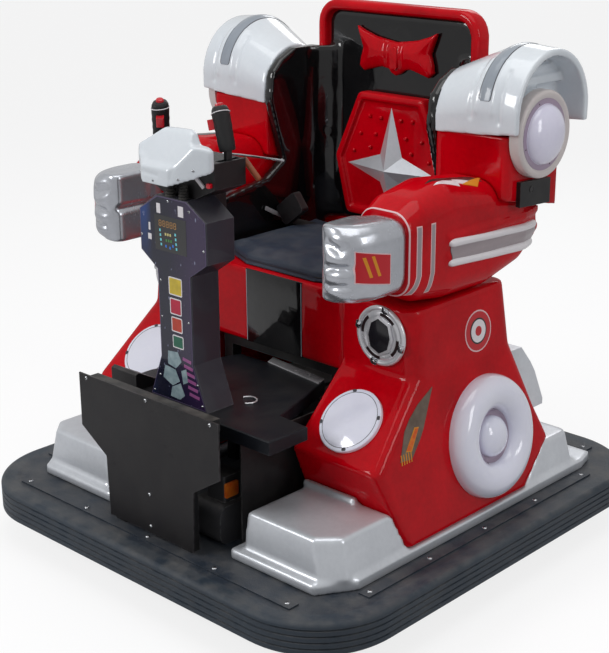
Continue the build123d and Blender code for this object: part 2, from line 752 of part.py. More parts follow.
# Headrest emblem: a plain bow-tie cushion with rounded lobes
# half width, height from its middle
bow_half = [(0, 34), (0.42, 40), (0.98, 70), (0.74, 6), (0.92, -52), (0.40, -38), (0, -54)]
with BuildPart() as emblem:
    with BuildSketch(front_plane(liner_face_y)) as bow:
        with BuildLine():
            Polyline([(EMBLEM_HALF * x, EMBLEM_Z + z) for x, z in bow_half]
                     + [(-EMBLEM_HALF * x, EMBLEM_Z + z) for x, z in reversed(bow_half[1:-1])], close=True)
        make_face()
        fillet(bow.vertices(), EMBLEM_TIP)
    extrude(amount=EMBLEM_THICK)
    fillet(emblem.faces().sort_by(Axis.Y)[0].edges(), EMBLEM_ROUND)
save(emblem.part, "headrest_emblem")

# Lower back panel with a raised rim, and the faceted star on it
panel_outline = [(-PANEL_LOW_HALF, PANEL_LOW), (PANEL_LOW_HALF, PANEL_LOW), (PANEL_HALF, PANEL_WIDE_Z),
                 (PANEL_TOP_HALF, PANEL_TOP), (-PANEL_TOP_HALF, PANEL_TOP), (-PANEL_HALF, PANEL_WIDE_Z)]
panel_back = liner_face_y
with BuildPart() as back_panel:
    with BuildSketch(front_plane(panel_back)) as panel_face:
        with BuildLine():
            Polyline(panel_outline, close=True)
        make_face()
        fillet(panel_face.vertices(), PANEL_CORNER)
    extrude(amount=PANEL_THICK)
    fillet(back_panel.faces().sort_by(Axis.Y)[0].edges(), PANEL_ROUND)
    with BuildSketch(front_plane(panel_back - PANEL_THICK)):
        with BuildLine():
            Polyline(panel_outline, close=True)
        make_face()
        offset(amount=-PANEL_RIM, mode=Mode.REPLACE)
    extrude(amount=-PANEL_DEEP, mode=Mode.SUBTRACT)
save(back_panel.part, "back_panel")

star_y = panel_back - PANEL_THICK + PANEL_DEEP
star_points = [(0, STAR_TOP), (STAR_NOTCH, STAR_NOTCH), (STAR_SIDE, 0), (STAR_NOTCH, -STAR_NOTCH),
               (0, -STAR_LOW), (-STAR_NOTCH, -STAR_NOTCH), (-STAR_SIDE, 0), (-STAR_NOTCH, STAR_NOTCH)]
with BuildPart() as star:
    with BuildSketch(front_plane(star_y)) as star_face:
        with BuildLine():
            Polyline([(x, STAR_Z + z) for x, z in star_points], close=True)
        make_face()
    loft(sections=[star_face.sketch.faces()[0], Vertex(0, star_y - STAR_RISE, STAR_Z)])
save(star.part, "star")

# Forearm: a barrel-like housing lofted through upright sections
# distance along Y, bottom and top above the deck, inner side, outer side, corner radius
arm_sections = [(ARM_FRONT, 602, 792, ARM_IN + 18, ARM_OUT - 8, 48), (-140, 578, 815, ARM_IN + 4, ARM_OUT, 56),
                (-40, 562, 836, ARM_IN, ARM_OUT, 62), (110, 560, 822, ARM_IN, ARM_OUT, 62),
                (240, 590, 774, ARM_IN, ARM_OUT - 6, 54), (325, 628, 728, ARM_IN + 20, ARM_OUT - 30, 38),
                (352, 652, 700, ARM_IN + 50, ARM_OUT - 60, 20)]
with BuildPart() as arm_form:
    for y, low, high, inner, outer, corner in arm_sections:
        with BuildSketch(front_plane(y)):
            with Locations(((inner + outer) / 2, DECK_TOP + (low + high) / 2)):
                RectangleRounded(outer - inner, high - low, corner)
    loft(ruled=True)
arm_out_line = [(section[4], section[0]) for section in arm_sections if section[0] < 330]
ridge_line = [(ARM_OUT, RIDGE_START)] + arm_out_line[3:]
with BuildPart() as arm:
    add(arm_form.part)
    for height in RIDGE_HEIGHTS:
        with BuildSketch(Plane.XY.offset(DECK_TOP + height)):
            with BuildLine():
                Polyline([(x + ARM_RIDGE, y) for x, y in ridge_line]
                         + [(x - ARM_RIDGE, y) for x, y in reversed(ridge_line)], close=True)
            make_face()
        extrude(amount=RIDGE_H)
    add(backrest.part, mode=Mode.SUBTRACT)
save_pair(arm.part, "arm")

# Fist: a rounded block with finger creases on its front and inner side
finger_h = (FIST_TOP - FIST_BOTTOM) / FINGERS
with BuildPart() as fist:
    with BuildSketch(front_plane(ARM_FRONT)):
        with Locations(((FIST_IN + FIST_OUT) / 2, (FIST_BOTTOM + FIST_TOP) / 2)):
            RectangleRounded(FIST_OUT - FIST_IN, FIST_TOP - FIST_BOTTOM, FIST_ROUND)
    extrude(amount=ARM_FRONT - FIST_FRONT)
    fillet(fist.faces().sort_by(Axis.Y)[0].edges(), FIST_NOSE)
    for i in range(1, FINGERS):
        crease_z = FIST_BOTTOM + i * finger_h
        with BuildSketch(side_plane(FIST_IN - 1)):
            with BuildLine():
                Polyline((FIST_FRONT, crease_z - FINGER_GROOVE), (FIST_FRONT + FINGER_GROOVE, crease_z),
                         (FIST_FRONT, crease_z + FINGER_GROOVE), (FIST_FRONT - 1, crease_z), close=True)
            make_face()
        extrude(amount=FIST_OUT - FIST_IN - FINGER_END, mode=Mode.SUBTRACT)
save_pair(fist.part, "fist")

# Shoulder block standing on the arm
with BuildPart() as shoulder_form:
    with BuildSketch(Plane.XY.offset(SHOULDER_LOW_REAR)) as shoulder_plan:
        with BuildLine():
            Polyline((SHOULDER_IN, SHOULDER_FRONT), (SHOULDER_OUT, SHOULDER_FRONT), (SHOULDER_OUT, SHOULDER_REAR),
                     (SHOULDER_IN, SHOULDER_REAR), close=True)
        make_face()
        fillet(shoulder_plan.vertices().group_by(Axis.X)[-1], SHOULDER_ROUND)
    extrude(amount=SHOULDER_TOP - SHOULDER_LOW_REAR)
    with BuildSketch(side_plane(SHOULDER_IN)):
        with BuildLine():
            Polyline((SHOULDER_FRONT, SHOULDER_LOW_REAR), (SHOULDER_REAR, SHOULDER_LOW_REAR),
                     (SHOULDER_FRONT, SHOULDER_LOW_FRONT), close=True)
        make_face()
    extrude(amount=SHOULDER_OUT - SHOULDER_IN, mode=Mode.SUBTRACT)
    add(arm.part, mode=Mode.SUBTRACT)
    add(backrest.part, mode=Mode.SUBTRACT)
shoulder_body = shoulder_form.part.solids().sort_by(Axis.Z)[-1]
with BuildPart() as shoulder:
    add(shoulder_body)
save_pair(shoulder.part, "shoulder")

# Brackets below the shoulder lamps, on the outer face of the shoulder blocks
with BuildPart() as bracket:
    with BuildSketch(side_plane(SHOULDER_OUT)):
        with BuildLine():
            Polyline((168, DECK_TOP + 752), (290, DECK_TOP + 745), (290, DECK_TOP + 806), (168, DECK_TOP + 812),
                     close=True)
        make_face()
    extrude(amount=BRACKET_THICK)
save_both(bracket.part, "shoulder_brackets")


def arch(front, spring_front, crown_y, crown_z, spring_rear, rear, low, shrink=0.0):
    """A vaulted outline in a side plane, drawn into the current BuildLine."""
    base_z = DECK_TOP + low
    left = (front + shrink, base_z)
    left_top = (front + shrink, DECK_TOP + spring_front)
    right_top = (rear - shrink, DECK_TOP + spring_rear)
    right = (rear - shrink, base_z)
    Polyline(left_top, left, right, right_top)
    ThreePointArc(right_top, (crown_y, DECK_TOP + crown_z - shrink), left_top)


# Shoulder pad: a white vault that widens outwards, with a stepped cave above the lamp
# place along X, front, front spring height, crown, rear spring height, rear, lower edge
pad_sections = [(PAD_IN, 116, 930, 224, 1056, 930, 344, 912), (PAD_MID, 110, 960, 252, 1120, 960, 398, 922),
                (PAD_OUT, 114, 956, 262, 1112, 956, 411, 930)]
with BuildPart() as pad_form:
    for x, front, spring, crown_y, crown_z, spring_rear, rear, low in pad_sections:
        with BuildSketch(side_plane(x)):
            with BuildLine():
                arch(front, spring, crown_y, crown_z, spring_rear, rear, low)
            make_face()
    loft(ruled=True)
with BuildPart() as cave:
    x, front, spring, crown_y, crown_z, spring_rear, rear, low = pad_sections[-1]
    with BuildSketch(side_plane(PAD_OUT - PAD_CAVE)):
        with BuildLine():
            arch(front, spring, crown_y, crown_z, spring_rear, rear, low - PAD_FLOOR, PAD_WALL)
        make_face()
    extrude(amount=PAD_CAVE + FIT)
    with BuildSketch(side_plane(PAD_OUT - PAD_CAVE)):
        with Locations((SIDE_LAMP_Y, SIDE_LAMP_Z)):
            Circle(SIDE_LAMP_R)
        with Locations((SIDE_LAMP_Y, SIDE_LAMP_Z - SIDE_LAMP_R)):
            Rectangle(2 * SIDE_LAMP_R, 2 * SIDE_LAMP_R)
    extrude(amount=PAD_CAVE + FIT, mode=Mode.SUBTRACT)
    for i in range(PAD_STEPS):
        with BuildSketch(side_plane(PAD_OUT - PAD_CAVE)):
            with Locations((SIDE_LAMP_Y, SIDE_LAMP_Z + SIDE_LAMP_R + (i + 0.5) * PAD_STEP_H)):
                Rectangle(4 * SIDE_LAMP_R, PAD_STEP_H)
        extrude(amount=(PAD_STEPS - i) * PAD_STEP_DEEP, mode=Mode.SUBTRACT)
with BuildPart() as pad_cut:
    add(pad_form.part)
    add(cave.part, mode=Mode.SUBTRACT)
    with BuildSketch(side_plane(SHOULDER_OUT)):
        with Locations((SIDE_LAMP_Y, SIDE_LAMP_Z)):
            Circle(SIDE_LAMP_R)
    extrude(amount=PAD_OUT - SHOULDER_OUT, mode=Mode.SUBTRACT)
    add(shoulder_body, mode=Mode.SUBTRACT)
    add(backrest.part, mode=Mode.SUBTRACT)
    add(liner_wall.part, mode=Mode.SUBTRACT)
pad_body = pad_cut.part.solids().sort_by(SortBy.VOLUME)[-1]
with BuildPart() as pad:
    add(pad_body)
save_pair(pad.part, "shoulder_pad")

# Shoulder lamps: a thick round bezel below the pad's arch, with a domed lens
lamp_base = SHOULDER_OUT + END_CLEAR
bezel_r = SIDE_LAMP_R - END_CLEAR
with BuildPart() as side_lamp:
    with BuildSketch(Plane(origin=(lamp_base, SIDE_LAMP_Y, SIDE_LAMP_Z), x_dir=(0, 1, 0), z_dir=(0, 0, -1))):
        with BuildLine():
            face = PAD_OUT - lamp_base
            Polyline((0, 0), (bezel_r, 0), (bezel_r, face - SIDE_LAMP_BEVEL), (bezel_r - SIDE_LAMP_BEVEL, face),
                     (SIDE_DOME_R, face))
            dome_mid = cap_middle(SIDE_DOME_R, face, face + SIDE_DOME_RISE)
            ThreePointArc((SIDE_DOME_R, face), dome_mid, (0, face + SIDE_DOME_RISE))
            Line((0, face + SIDE_DOME_RISE), (0, 0))
        make_face()
    revolve(axis=Axis((lamp_base, SIDE_LAMP_Y, SIDE_LAMP_Z), (1, 0, 0)))
save_both(side_lamp.part, "shoulder_lamps")

# Bay frame: side plates that carry the foot platform, posts and rails behind the front plate
rail_y = PLATE_Y + SHEET
platform_low = PLATFORM_TOP - PLATFORM_THICK
cross_y = (BAY_FRONT + BAY_REAR) / 2
with BuildPart() as bay:
    for x in (BAY_X, -BAY_X - SHEET):
        with BuildSketch(side_plane(x)):
            with Locations((cross_y, (DECK_TOP + platform_low) / 2)):
                Rectangle(BAY_REAR - BAY_FRONT, platform_low - DECK_TOP)
        extrude(amount=SHEET)
    with BuildSketch(Plane.XY.offset(DECK_TOP)):
        with Locations((-POST_X, rail_y + POST / 2), (POST_X, rail_y + POST / 2)):
            Rectangle(POST, POST)
    extrude(amount=PLATE_TOP - DECK_TOP - SHEET)
    with BuildSketch(Plane.XY.offset(PLATE_TOP - SHEET - POST)):
        with Locations((0, rail_y + POST / 2)):
            Rectangle(2 * (BAY_X + SHEET), POST)
    extrude(amount=POST)
    with BuildSketch(Plane.XY.offset(platform_low - POST)):
        with Locations((-POST_X, (rail_y + cross_y) / 2), (POST_X, (rail_y + cross_y) / 2)):
            Rectangle(POST, cross_y - rail_y)
    extrude(amount=POST)
    with BuildSketch(Plane.XY.offset(platform_low - POST)):
        with Locations((0, cross_y)):
            Rectangle(2 * BAY_X + SHEET, POST)
    extrude(amount=POST)
save(bay.part, "bay_frame")

# Control unit in the bay: a motor housing on the deck with a junction box on its flat top
with BuildPart() as bay_unit:
    with BuildSketch(side_plane(UNIT_X - UNIT_WIDE / 2)):
        with Locations((UNIT_Y, DECK_TOP + UNIT_H / 2)):
            RectangleRounded(UNIT_LEN, UNIT_H, UNIT_ROUND)
    extrude(amount=UNIT_WIDE)
    with BuildSketch(Plane.XY.offset(DECK_TOP + UNIT_H)):
        with Locations((UNIT_X, UNIT_Y)):
            RectangleRounded(BOX_WIDE, BOX_LEN, BOX_ROUND)
    extrude(amount=BOX_H)
save(bay_unit.part, "bay_unit")

# Front plate: sheet with chamfered lower corners
plate_half = [(PLATE_HALF, PLATE_TOP), (PLATE_HALF, PLATE_CHAMFER_TOP), (PLATE_LOW_HALF + 5, PLATE_CHAMFER_LOW),
              (PLATE_LOW_HALF, PLATE_LOW)]
with BuildPart() as front_sheet:
    with BuildSketch(front_plane(PLATE_Y + SHEET)):
        with BuildLine():
            Polyline(plate_half + [(-x, z) for x, z in reversed(plate_half)], close=True)
        make_face()
    extrude(amount=SHEET)
save(front_sheet.part, "front_plate")

# Foot platform with a wing on the driver's left
with BuildPart() as platform:
    with BuildSketch(Plane.XY.offset(platform_low)):
        with BuildLine():
            Polyline((-PLATFORM_HALF, PLATFORM_FRONT), (WING_OUT, PLATFORM_FRONT), (WING_OUT, WING_REAR),
                     (PLATFORM_HALF, WING_REAR + 6), (PLATFORM_TAIL, PLATFORM_REAR),
                     (-PLATFORM_TAIL, PLATFORM_REAR), (-PLATFORM_HALF, WING_REAR + 6), close=True)
        make_face()
    extrude(amount=PLATFORM_THICK)
    fillet(platform.faces().sort_by(Axis.Z)[-1].edges(), 4)
save(platform.part, "platform")

# Control column: flared foot, slim neck and an eight-sided head
# half width, height
column_half = [(COLUMN_FOOT, PLATFORM_TOP), (COLUMN_NECK, DECK_TOP + 418), (COLUMN_NECK, DECK_TOP + 630),
               (COLUMN_HEAD, DECK_TOP + 668), (COLUMN_HEAD, DECK_TOP + 765), (COLUMN_CROWN, COLUMN_TOP)]
with BuildPart() as column:
    with BuildSketch(front_plane(COLUMN_FRONT + COLUMN_DEPTH)):
        with BuildLine():
            Polyline(column_half + [(-x, z) for x, z in reversed(column_half)], close=True)
        make_face()
    extrude(amount=COLUMN_DEPTH)
    fillet(column.faces().sort_by(Axis.Y)[0].edges().sort_by(Axis.Z)[1:], COLUMN_EDGE)
    with BuildSketch(front_plane(COLUMN_FRONT)):
        with Locations((DISPLAY_X, DISPLAY_Z)):
            Rectangle(DISPLAY_W, DISPLAY_H)
    extrude(amount=-DISPLAY_DEEP, mode=Mode.SUBTRACT)
save(column.part, "column")

with BuildPart() as display:
    with BuildSketch(front_plane(COLUMN_FRONT + DISPLAY_DEEP)):
        with Locations((DISPLAY_X, DISPLAY_Z)):
            Rectangle(DISPLAY_W - FIT, DISPLAY_H - FIT)
    extrude(amount=DISPLAY_DEEP + FIT)
save(display.part, "display")

# Lever console: a block that tapers down to the column, with a slot and a pivot pin for each lever
slot_half = LEVER_T / 2 + SLOT_CLEAR
console_deep = CONSOLE_REAR - COVER_REAR
with BuildPart() as console:
    with BuildSketch(Plane.XY.offset(CONSOLE_LOW)):
        with Locations((0, (CONSOLE_REAR + COVER_REAR) / 2)):
            Rectangle(2 * CONSOLE_HALF, console_deep)
    extrude(amount=CONSOLE_TOP - CONSOLE_LOW)
    with BuildSketch(Plane.XY.offset(COLUMN_TOP)):
        with Locations((0, (CONSOLE_REAR + COVER_REAR) / 2)):
            Rectangle(2 * COLUMN_CROWN, console_deep)
    with BuildSketch(Plane.XY.offset(CONSOLE_LOW)):
        with Locations((0, (CONSOLE_REAR + COVER_REAR) / 2)):
            Rectangle(2 * CONSOLE_HALF, console_deep)
    loft(ruled=True)
    with BuildSketch(front_plane(CONSOLE_REAR)):
        with Locations((0, COLUMN_TOP - CONSOLE_TAIL / 2)):
            Rectangle(2 * COLUMN_CROWN, CONSOLE_TAIL)
    extrude(amount=CONSOLE_REAR - COLUMN_FRONT - COLUMN_DEPTH)
    with BuildSketch(Plane.XY.offset(LEVER_PIVOT_Z - LEVER_BOSS_R - SLOT_CLEAR)):
        with Locations((-LEVER_X, LEVER_Y), (LEVER_X, LEVER_Y)):
            Rectangle(2 * slot_half, 2 * (CONSOLE_REAR - CONSOLE_WALL - LEVER_Y))
    extrude(amount=CONSOLE_TOP, mode=Mode.SUBTRACT)
    for x in (-LEVER_X, LEVER_X):
        with BuildSketch(side_plane(x - slot_half)):
            with Locations((LEVER_Y, LEVER_PIVOT_Z)):
                Circle(PIN_R)
        extrude(amount=2 * slot_half)
save(console.part, "lever_console")

# Levers: a bar on a pivot boss, and a grip that leans inwards, with a button and a trigger
for name, side, lean in (("left", 1, 0), ("right", -1, RIGHT_LEVER_LEAN)):
    x = side * LEVER_X
    inward = math.radians(GRIP_LEAN)
    grip_plane = Plane(origin=(x, LEVER_Y, GRIP_START), x_dir=(math.cos(inward), 0, side * math.sin(inward)),
                       z_dir=(-side * math.sin(inward), 0, math.cos(inward)))
    with BuildPart() as lever:
        with BuildSketch(side_plane(x - LEVER_T / 2)):
            with Locations((LEVER_Y, LEVER_PIVOT_Z)):
                Circle(LEVER_BOSS_R)
            with Locations((LEVER_Y, (LEVER_PIVOT_Z + GRIP_START) / 2 + 3)):
                Rectangle(16, GRIP_START - LEVER_PIVOT_Z + 6)
            with Locations((LEVER_Y, LEVER_PIVOT_Z)):
                Circle(PIN_R + RUN_CLEAR, mode=Mode.SUBTRACT)
        extrude(amount=LEVER_T)
        with BuildSketch(grip_plane):
            Ellipse(GRIP_R, GRIP_DEEP)
        extrude(amount=GRIP_LEN)
        fillet(lever.faces().sort_by(Axis.Z)[-1].edges(), 8)
        with BuildSketch(grip_plane.offset(GRIP_LEN - 1)):
            Circle(BUTTON_R)
        extrude(amount=BUTTON_H)
        with BuildSketch(grip_plane.offset(GRIP_LEN - TRIGGER_H - 26)):
            with Locations(Location((0, 0, 0), (0, 0, -90 - side * TRIGGER_TURN))):
                with Locations((GRIP_R / 2 + TRIGGER_OUT, 0)):
                    Rectangle(GRIP_R + TRIGGER_OUT, TRIGGER_W)
        extrude(amount=TRIGGER_H)
    pivot = Axis((x, LEVER_Y, LEVER_PIVOT_Z), (1, 0, 0))
    save(lever.part.rotate(pivot, lean), f"lever_{name}")

# White moulded cover in front of the levers: plan, front and side outlines cut one another
# across, height above the deck
cover_front = [(-COVER_HALF, 836), (COVER_HALF, 836), (COVER_HALF, 924), (110, 931), (80, 934), (70, 957),
               (56, 965), (-24, 962), (-62, 936), (-100, 912), (-COVER_HALF, 898)]
# along Y, height above the deck
cover_side = [(COVER_FRONT, 843), (COVER_FRONT, 882), (COVER_FRONT + 14, 894), (COVER_REAR - 20, 956),
              (COVER_REAR - 10, 966), (COVER_REAR, 966), (COVER_REAR, 880)]
with BuildPart() as cover:
    with BuildSketch(front_plane(COVER_REAR)):
        with BuildLine():
            Polyline([(x, DECK_TOP + z) for x, z in cover_front], close=True)
        make_face()
    extrude(amount=COVER_REAR - COVER_FRONT)
    with BuildSketch(side_plane(-COVER_HALF)):
        with BuildLine():
            Polyline([(y, DECK_TOP + z) for y, z in cover_side], close=True)
        make_face()
    extrude(amount=2 * COVER_HALF, mode=Mode.INTERSECT)
    with BuildSketch(Plane.XY.offset(COLUMN_TOP)):
        with BuildLine():
            Polyline((-COVER_NOSE, COVER_FRONT), (COVER_NOSE, COVER_FRONT), (COVER_HALF, COVER_REAR - 14),
                     (COVER_HALF, COVER_REAR), (-COVER_HALF, COVER_REAR), (-COVER_HALF, COVER_REAR - 14),
                     close=True)
        make_face()
    extrude(amount=COVER_HALF * 2, mode=Mode.INTERSECT)
save(cover.part, "column_cover")

# Accelerator pedal on the platform, on the driver's right
with BuildPart() as pedal:
    with BuildSketch(side_plane(PEDAL_X - PEDAL_W / 2)):
        with BuildLine():
            Polyline((PEDAL_FRONT, PLATFORM_TOP), (PEDAL_FRONT + PEDAL_LEN, PLATFORM_TOP),
                     (PEDAL_FRONT + PEDAL_LEN, PLATFORM_TOP + PEDAL_SOLE),
                     (PEDAL_FRONT + PEDAL_TOE, PLATFORM_TOP + PEDAL_TOP),
                     (PEDAL_FRONT, PLATFORM_TOP + PEDAL_NOSE), close=True)
        make_face()
    extrude(amount=PEDAL_W)
save(pedal.part, "pedal")

# Batteries in the bay under the seat, and the panel that closes it behind
with BuildPart() as batteries:
    with BuildSketch(Plane.XY.offset(DECK_TOP)):
        with Locations((-BATTERY_X, BATTERY_Y), (BATTERY_X, BATTERY_Y)):
            Rectangle(BATTERY_WIDE, BATTERY_LEN)
    extrude(amount=BATTERY_H)
    fillet(batteries.edges().filter_by(Axis.Z), BATTERY_ROUND)
save(batteries.part, "batteries")

with BuildPart() as rear_panel:
    with BuildSketch(front_plane(SEAT_REAR + SHEET)):
        with Locations((0, (DECK_TOP + SEAT_TOP) / 2)):
            Rectangle(2 * (skirt_in - 2), SEAT_TOP - DECK_TOP)
    extrude(amount=SHEET)
save(rear_panel.part, "rear_panel")

# Seat frame: posts and rails that carry the tub
frame_x = LEG_IN - SEAT_POST_INSET
frame_rows = (SEAT_FRONT + SEAT_POST_FRONT, SEAT_REAR - SEAT_POST_REAR)
with BuildPart() as seat_frame:
    with BuildSketch(Plane.XY.offset(DECK_TOP)):
        with Locations([(x, y) for x in (-frame_x, frame_x) for y in frame_rows]):
            Rectangle(POST, POST)
    extrude(amount=SEAT_BOTTOM - DECK_TOP)
    with BuildSketch(Plane.XY.offset(SEAT_BOTTOM - POST)):
        with Locations([(0, y) for y in frame_rows]):
            Rectangle(2 * frame_x, POST)
    extrude(amount=POST)
save(seat_frame.part, "seat_frame")

# Lap belt: webbing across the back of the cushion, with its buckle leaning on the far wall
belt_z = SEAT_TOP + CUSHION_THICK + END_CLEAR
belt_half = LINER_OUT - LINER_WALL - 2 * FIT
buckle_x = (BUCKLE_W + BUCKLE_H) / 2 * math.sin(math.radians(45)) - belt_half
buckle_y = BELT_Y - BELT_WIDE / 2 + BELT_THICK
with BuildPart() as belt:
    with BuildSketch(Plane.XY.offset(belt_z)):
        with Locations((0, BELT_Y)):
            Rectangle(2 * belt_half, BELT_WIDE)
    extrude(amount=BELT_THICK)
    with BuildSketch(front_plane(buckle_y)):
        with Locations(Location((buckle_x, belt_z + BUCKLE_RISE, 0), (0, 0, BUCKLE_TURN))):
            RectangleRounded(BUCKLE_W, BUCKLE_H, BUCKLE_ROUND)
    extrude(amount=BUCKLE_D)
save(belt.part, "seat_belt")
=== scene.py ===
# %% [markdown]
# # A robot-shaped bumper car
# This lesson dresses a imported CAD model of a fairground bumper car. The CAD gives every size and every joint.
# Blender adds what the eye looks for: soft moulded edges, paint, rubber, vinyl, screws, lamps and stripes.
# All numbers are metres in the CAD's own frame: the front of the car looks along -Y and the ground is z = 0.

# %% Load the frame
import bpy
import bmesh
import json
import math
from mathutils import Matrix, Vector, geometry


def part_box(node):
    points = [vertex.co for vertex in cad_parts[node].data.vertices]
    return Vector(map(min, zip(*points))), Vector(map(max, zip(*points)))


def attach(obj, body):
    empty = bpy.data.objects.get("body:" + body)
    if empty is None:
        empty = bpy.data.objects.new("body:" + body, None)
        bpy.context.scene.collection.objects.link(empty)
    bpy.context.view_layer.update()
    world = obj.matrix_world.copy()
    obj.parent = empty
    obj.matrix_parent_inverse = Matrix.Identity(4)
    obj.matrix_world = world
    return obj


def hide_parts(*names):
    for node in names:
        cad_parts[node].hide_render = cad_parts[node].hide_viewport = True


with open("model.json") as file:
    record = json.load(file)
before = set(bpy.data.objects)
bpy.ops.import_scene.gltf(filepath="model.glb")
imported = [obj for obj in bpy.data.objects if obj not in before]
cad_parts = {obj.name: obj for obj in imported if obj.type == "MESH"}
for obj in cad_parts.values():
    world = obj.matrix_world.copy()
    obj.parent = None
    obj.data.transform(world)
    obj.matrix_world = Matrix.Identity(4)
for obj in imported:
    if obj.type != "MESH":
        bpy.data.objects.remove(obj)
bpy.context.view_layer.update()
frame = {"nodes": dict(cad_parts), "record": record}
nodes = frame["nodes"]
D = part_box("deck")[1].z                          # the deck's top, from which heights on the body are given
SIDES = (("left", 1), ("right", -1))             # the driver's left is +X
X, Y, Z, FRONT = (1, 0, 0), (0, 1, 0), (0, 0, 1), (0, -1, 0)
print("nodes:", len(nodes), "deck top:", round(D, 4))

# %% [markdown]
# ## Camera
# The camera stands where the photographer stood. Its place and lens were worked out from rows of screws on the
# real deck, whose spacing is known. A small shift frames the car as the picture does.

# %% Camera
sight, right, up = Vector((-0.6405, 0.6957, -0.3252)), Vector((0.7357, 0.6773, 0.0)), Vector((-0.2203, 0.2393,
    0.9456))
lens = bpy.data.cameras.new("photo_lens")
lens.sensor_width = 36
lens.lens = 77.71
lens.shift_x, lens.shift_y = -0.0411, 0.0153
lens.clip_end = 60
camera = bpy.data.objects.new("photo_camera", lens)
standpoint = (2.3556, -2.4933, 1.6893)
camera.matrix_world = Matrix.Translation(standpoint) @ Matrix((right, up, -sight)).transposed().to_4x4()
bpy.context.scene.collection.objects.link(camera)
bpy.context.scene.camera = camera
bpy.context.scene.view_settings.view_transform = "Standard"
print("lens:", round(lens.lens, 2), "mm")

# %% [markdown]
# ## Node tools
# A material is a small network. These helpers add a node, set its inputs by name and join it to others, so the
# networks below stay short enough to read.

# %% Node helpers
def srgb(r, g, b):
    """A colour read off a screen, as the linear values that shaders use."""
    return tuple((c / 255 / 12.92) if c <= 10 else ((c / 255 + 0.055) / 1.055) ** 2.4 for c in (r, g, b)) + (1.0,)


def add_node(tree, kind, inputs=None, **settings):
    node = tree.nodes.new(kind)
    for key, value in settings.items():
        setattr(node, key, value)
    for key, value in (inputs or {}).items():
        if isinstance(value, bpy.types.NodeSocket):
            tree.links.new(value, node.inputs[key])
        else:
            node.inputs[key].default_value = value
    return node


def maths(tree, operation, a, b=0.0, clamp=False):
    return add_node(tree, "ShaderNodeMath", {0: a, 1: b}, operation=operation, use_clamp=clamp).outputs[0]


def blended(tree, factor, a, b):
    """A colour mix: factor 0 gives a, factor 1 gives b."""
    return add_node(tree, "ShaderNodeMix", {0: factor, 6: a, 7: b}, data_type="RGBA").outputs[2]


def spread(tree, value, low, high, out_low=0.0, out_high=1.0):
    """Stretches a value between low and high, and clips it there."""
    return add_node(tree, "ShaderNodeMapRange", {0: value, 1: low, 2: high, 3: out_low, 4: out_high}).outputs[0]


def new_group(name, inputs, outputs):
    tree = bpy.data.node_groups.new(name, "ShaderNodeTree")
    for label, kind, value in inputs:
        socket = tree.interface.new_socket(label, in_out="INPUT", socket_type="NodeSocket" + kind)
        socket.default_value = value
    for label, kind in outputs:
        tree.interface.new_socket(label, in_out="OUTPUT", socket_type="NodeSocket" + kind)
    return tree, tree.nodes.new("NodeGroupInput").outputs, tree.nodes.new("NodeGroupOutput").inputs


def object_point(tree, stretch=(1, 1, 1), turn=(0, 0, 0)):
    place = add_node(tree, "ShaderNodeTexCoord").outputs["Object"]
    return add_node(tree, "ShaderNodeMapping", {"Vector": place, "Scale": stretch, "Rotation": turn}).outputs[0]

# %% [markdown]
# ## Shared effects
# Moulded shells, sheet metal and rubber all age in the same few ways: paint varies a little in depth, edges rub
# bright, fine scratches dull the gloss and dust settles on what faces up. Each effect is one node group with its
# own inputs, and each material uses it at its own strength.

# %% Effect: uneven colour
tree, given, result = new_group("uneven_colour", [("Colour", "Color", (0.5, 0.5, 0.5, 1)),
    ("Deep", "Color", (0.3, 0.3, 0.3, 1)), ("Scale", "Float", 6.0), ("Amount", "Float", 0.5)], [("Colour", "Color")])
point = object_point(tree)
broad = add_node(tree, "ShaderNodeTexNoise", {"Vector": point, "Scale": given["Scale"], "Detail": 3.0}).outputs[0]
fine = add_node(tree, "ShaderNodeTexNoise", {"Vector": point, "Scale": 90.0, "Detail": 4.0}).outputs[0]
cloud = spread(tree, maths(tree, "ADD", maths(tree, "MULTIPLY", broad, 0.75), maths(tree, "MULTIPLY", fine, 0.25)),
               0.35, 0.7)
tree.links.new(blended(tree, maths(tree, "MULTIPLY", cloud, given["Amount"]), given["Colour"], given["Deep"]),
               result["Colour"])

# %% Effect: rubbed edges
tree, given, result = new_group("rubbed_edges", [("Radius", "Float", 0.004), ("Amount", "Float", 0.5),
    ("Breakup", "Float", 60.0)], [("Mask", "Float")])
soft_normal = add_node(tree, "ShaderNodeBevel", {"Radius": given["Radius"]}, samples=4).outputs[0]
true_normal = add_node(tree, "ShaderNodeNewGeometry").outputs["Normal"]
likeness = add_node(tree, "ShaderNodeVectorMath", {0: soft_normal, 1: true_normal},
    operation="DOT_PRODUCT").outputs["Value"]
edge = spread(tree, likeness, 0.995, 0.9)
patches = add_node(tree, "ShaderNodeTexNoise", {"Vector": object_point(tree), "Scale": given["Breakup"],
    "Detail": 5.0}).outputs[0]
mask = maths(tree, "MULTIPLY", edge, spread(tree, patches, 0.42, 0.62))
tree.links.new(maths(tree, "MULTIPLY", mask, given["Amount"], clamp=True), result["Mask"])

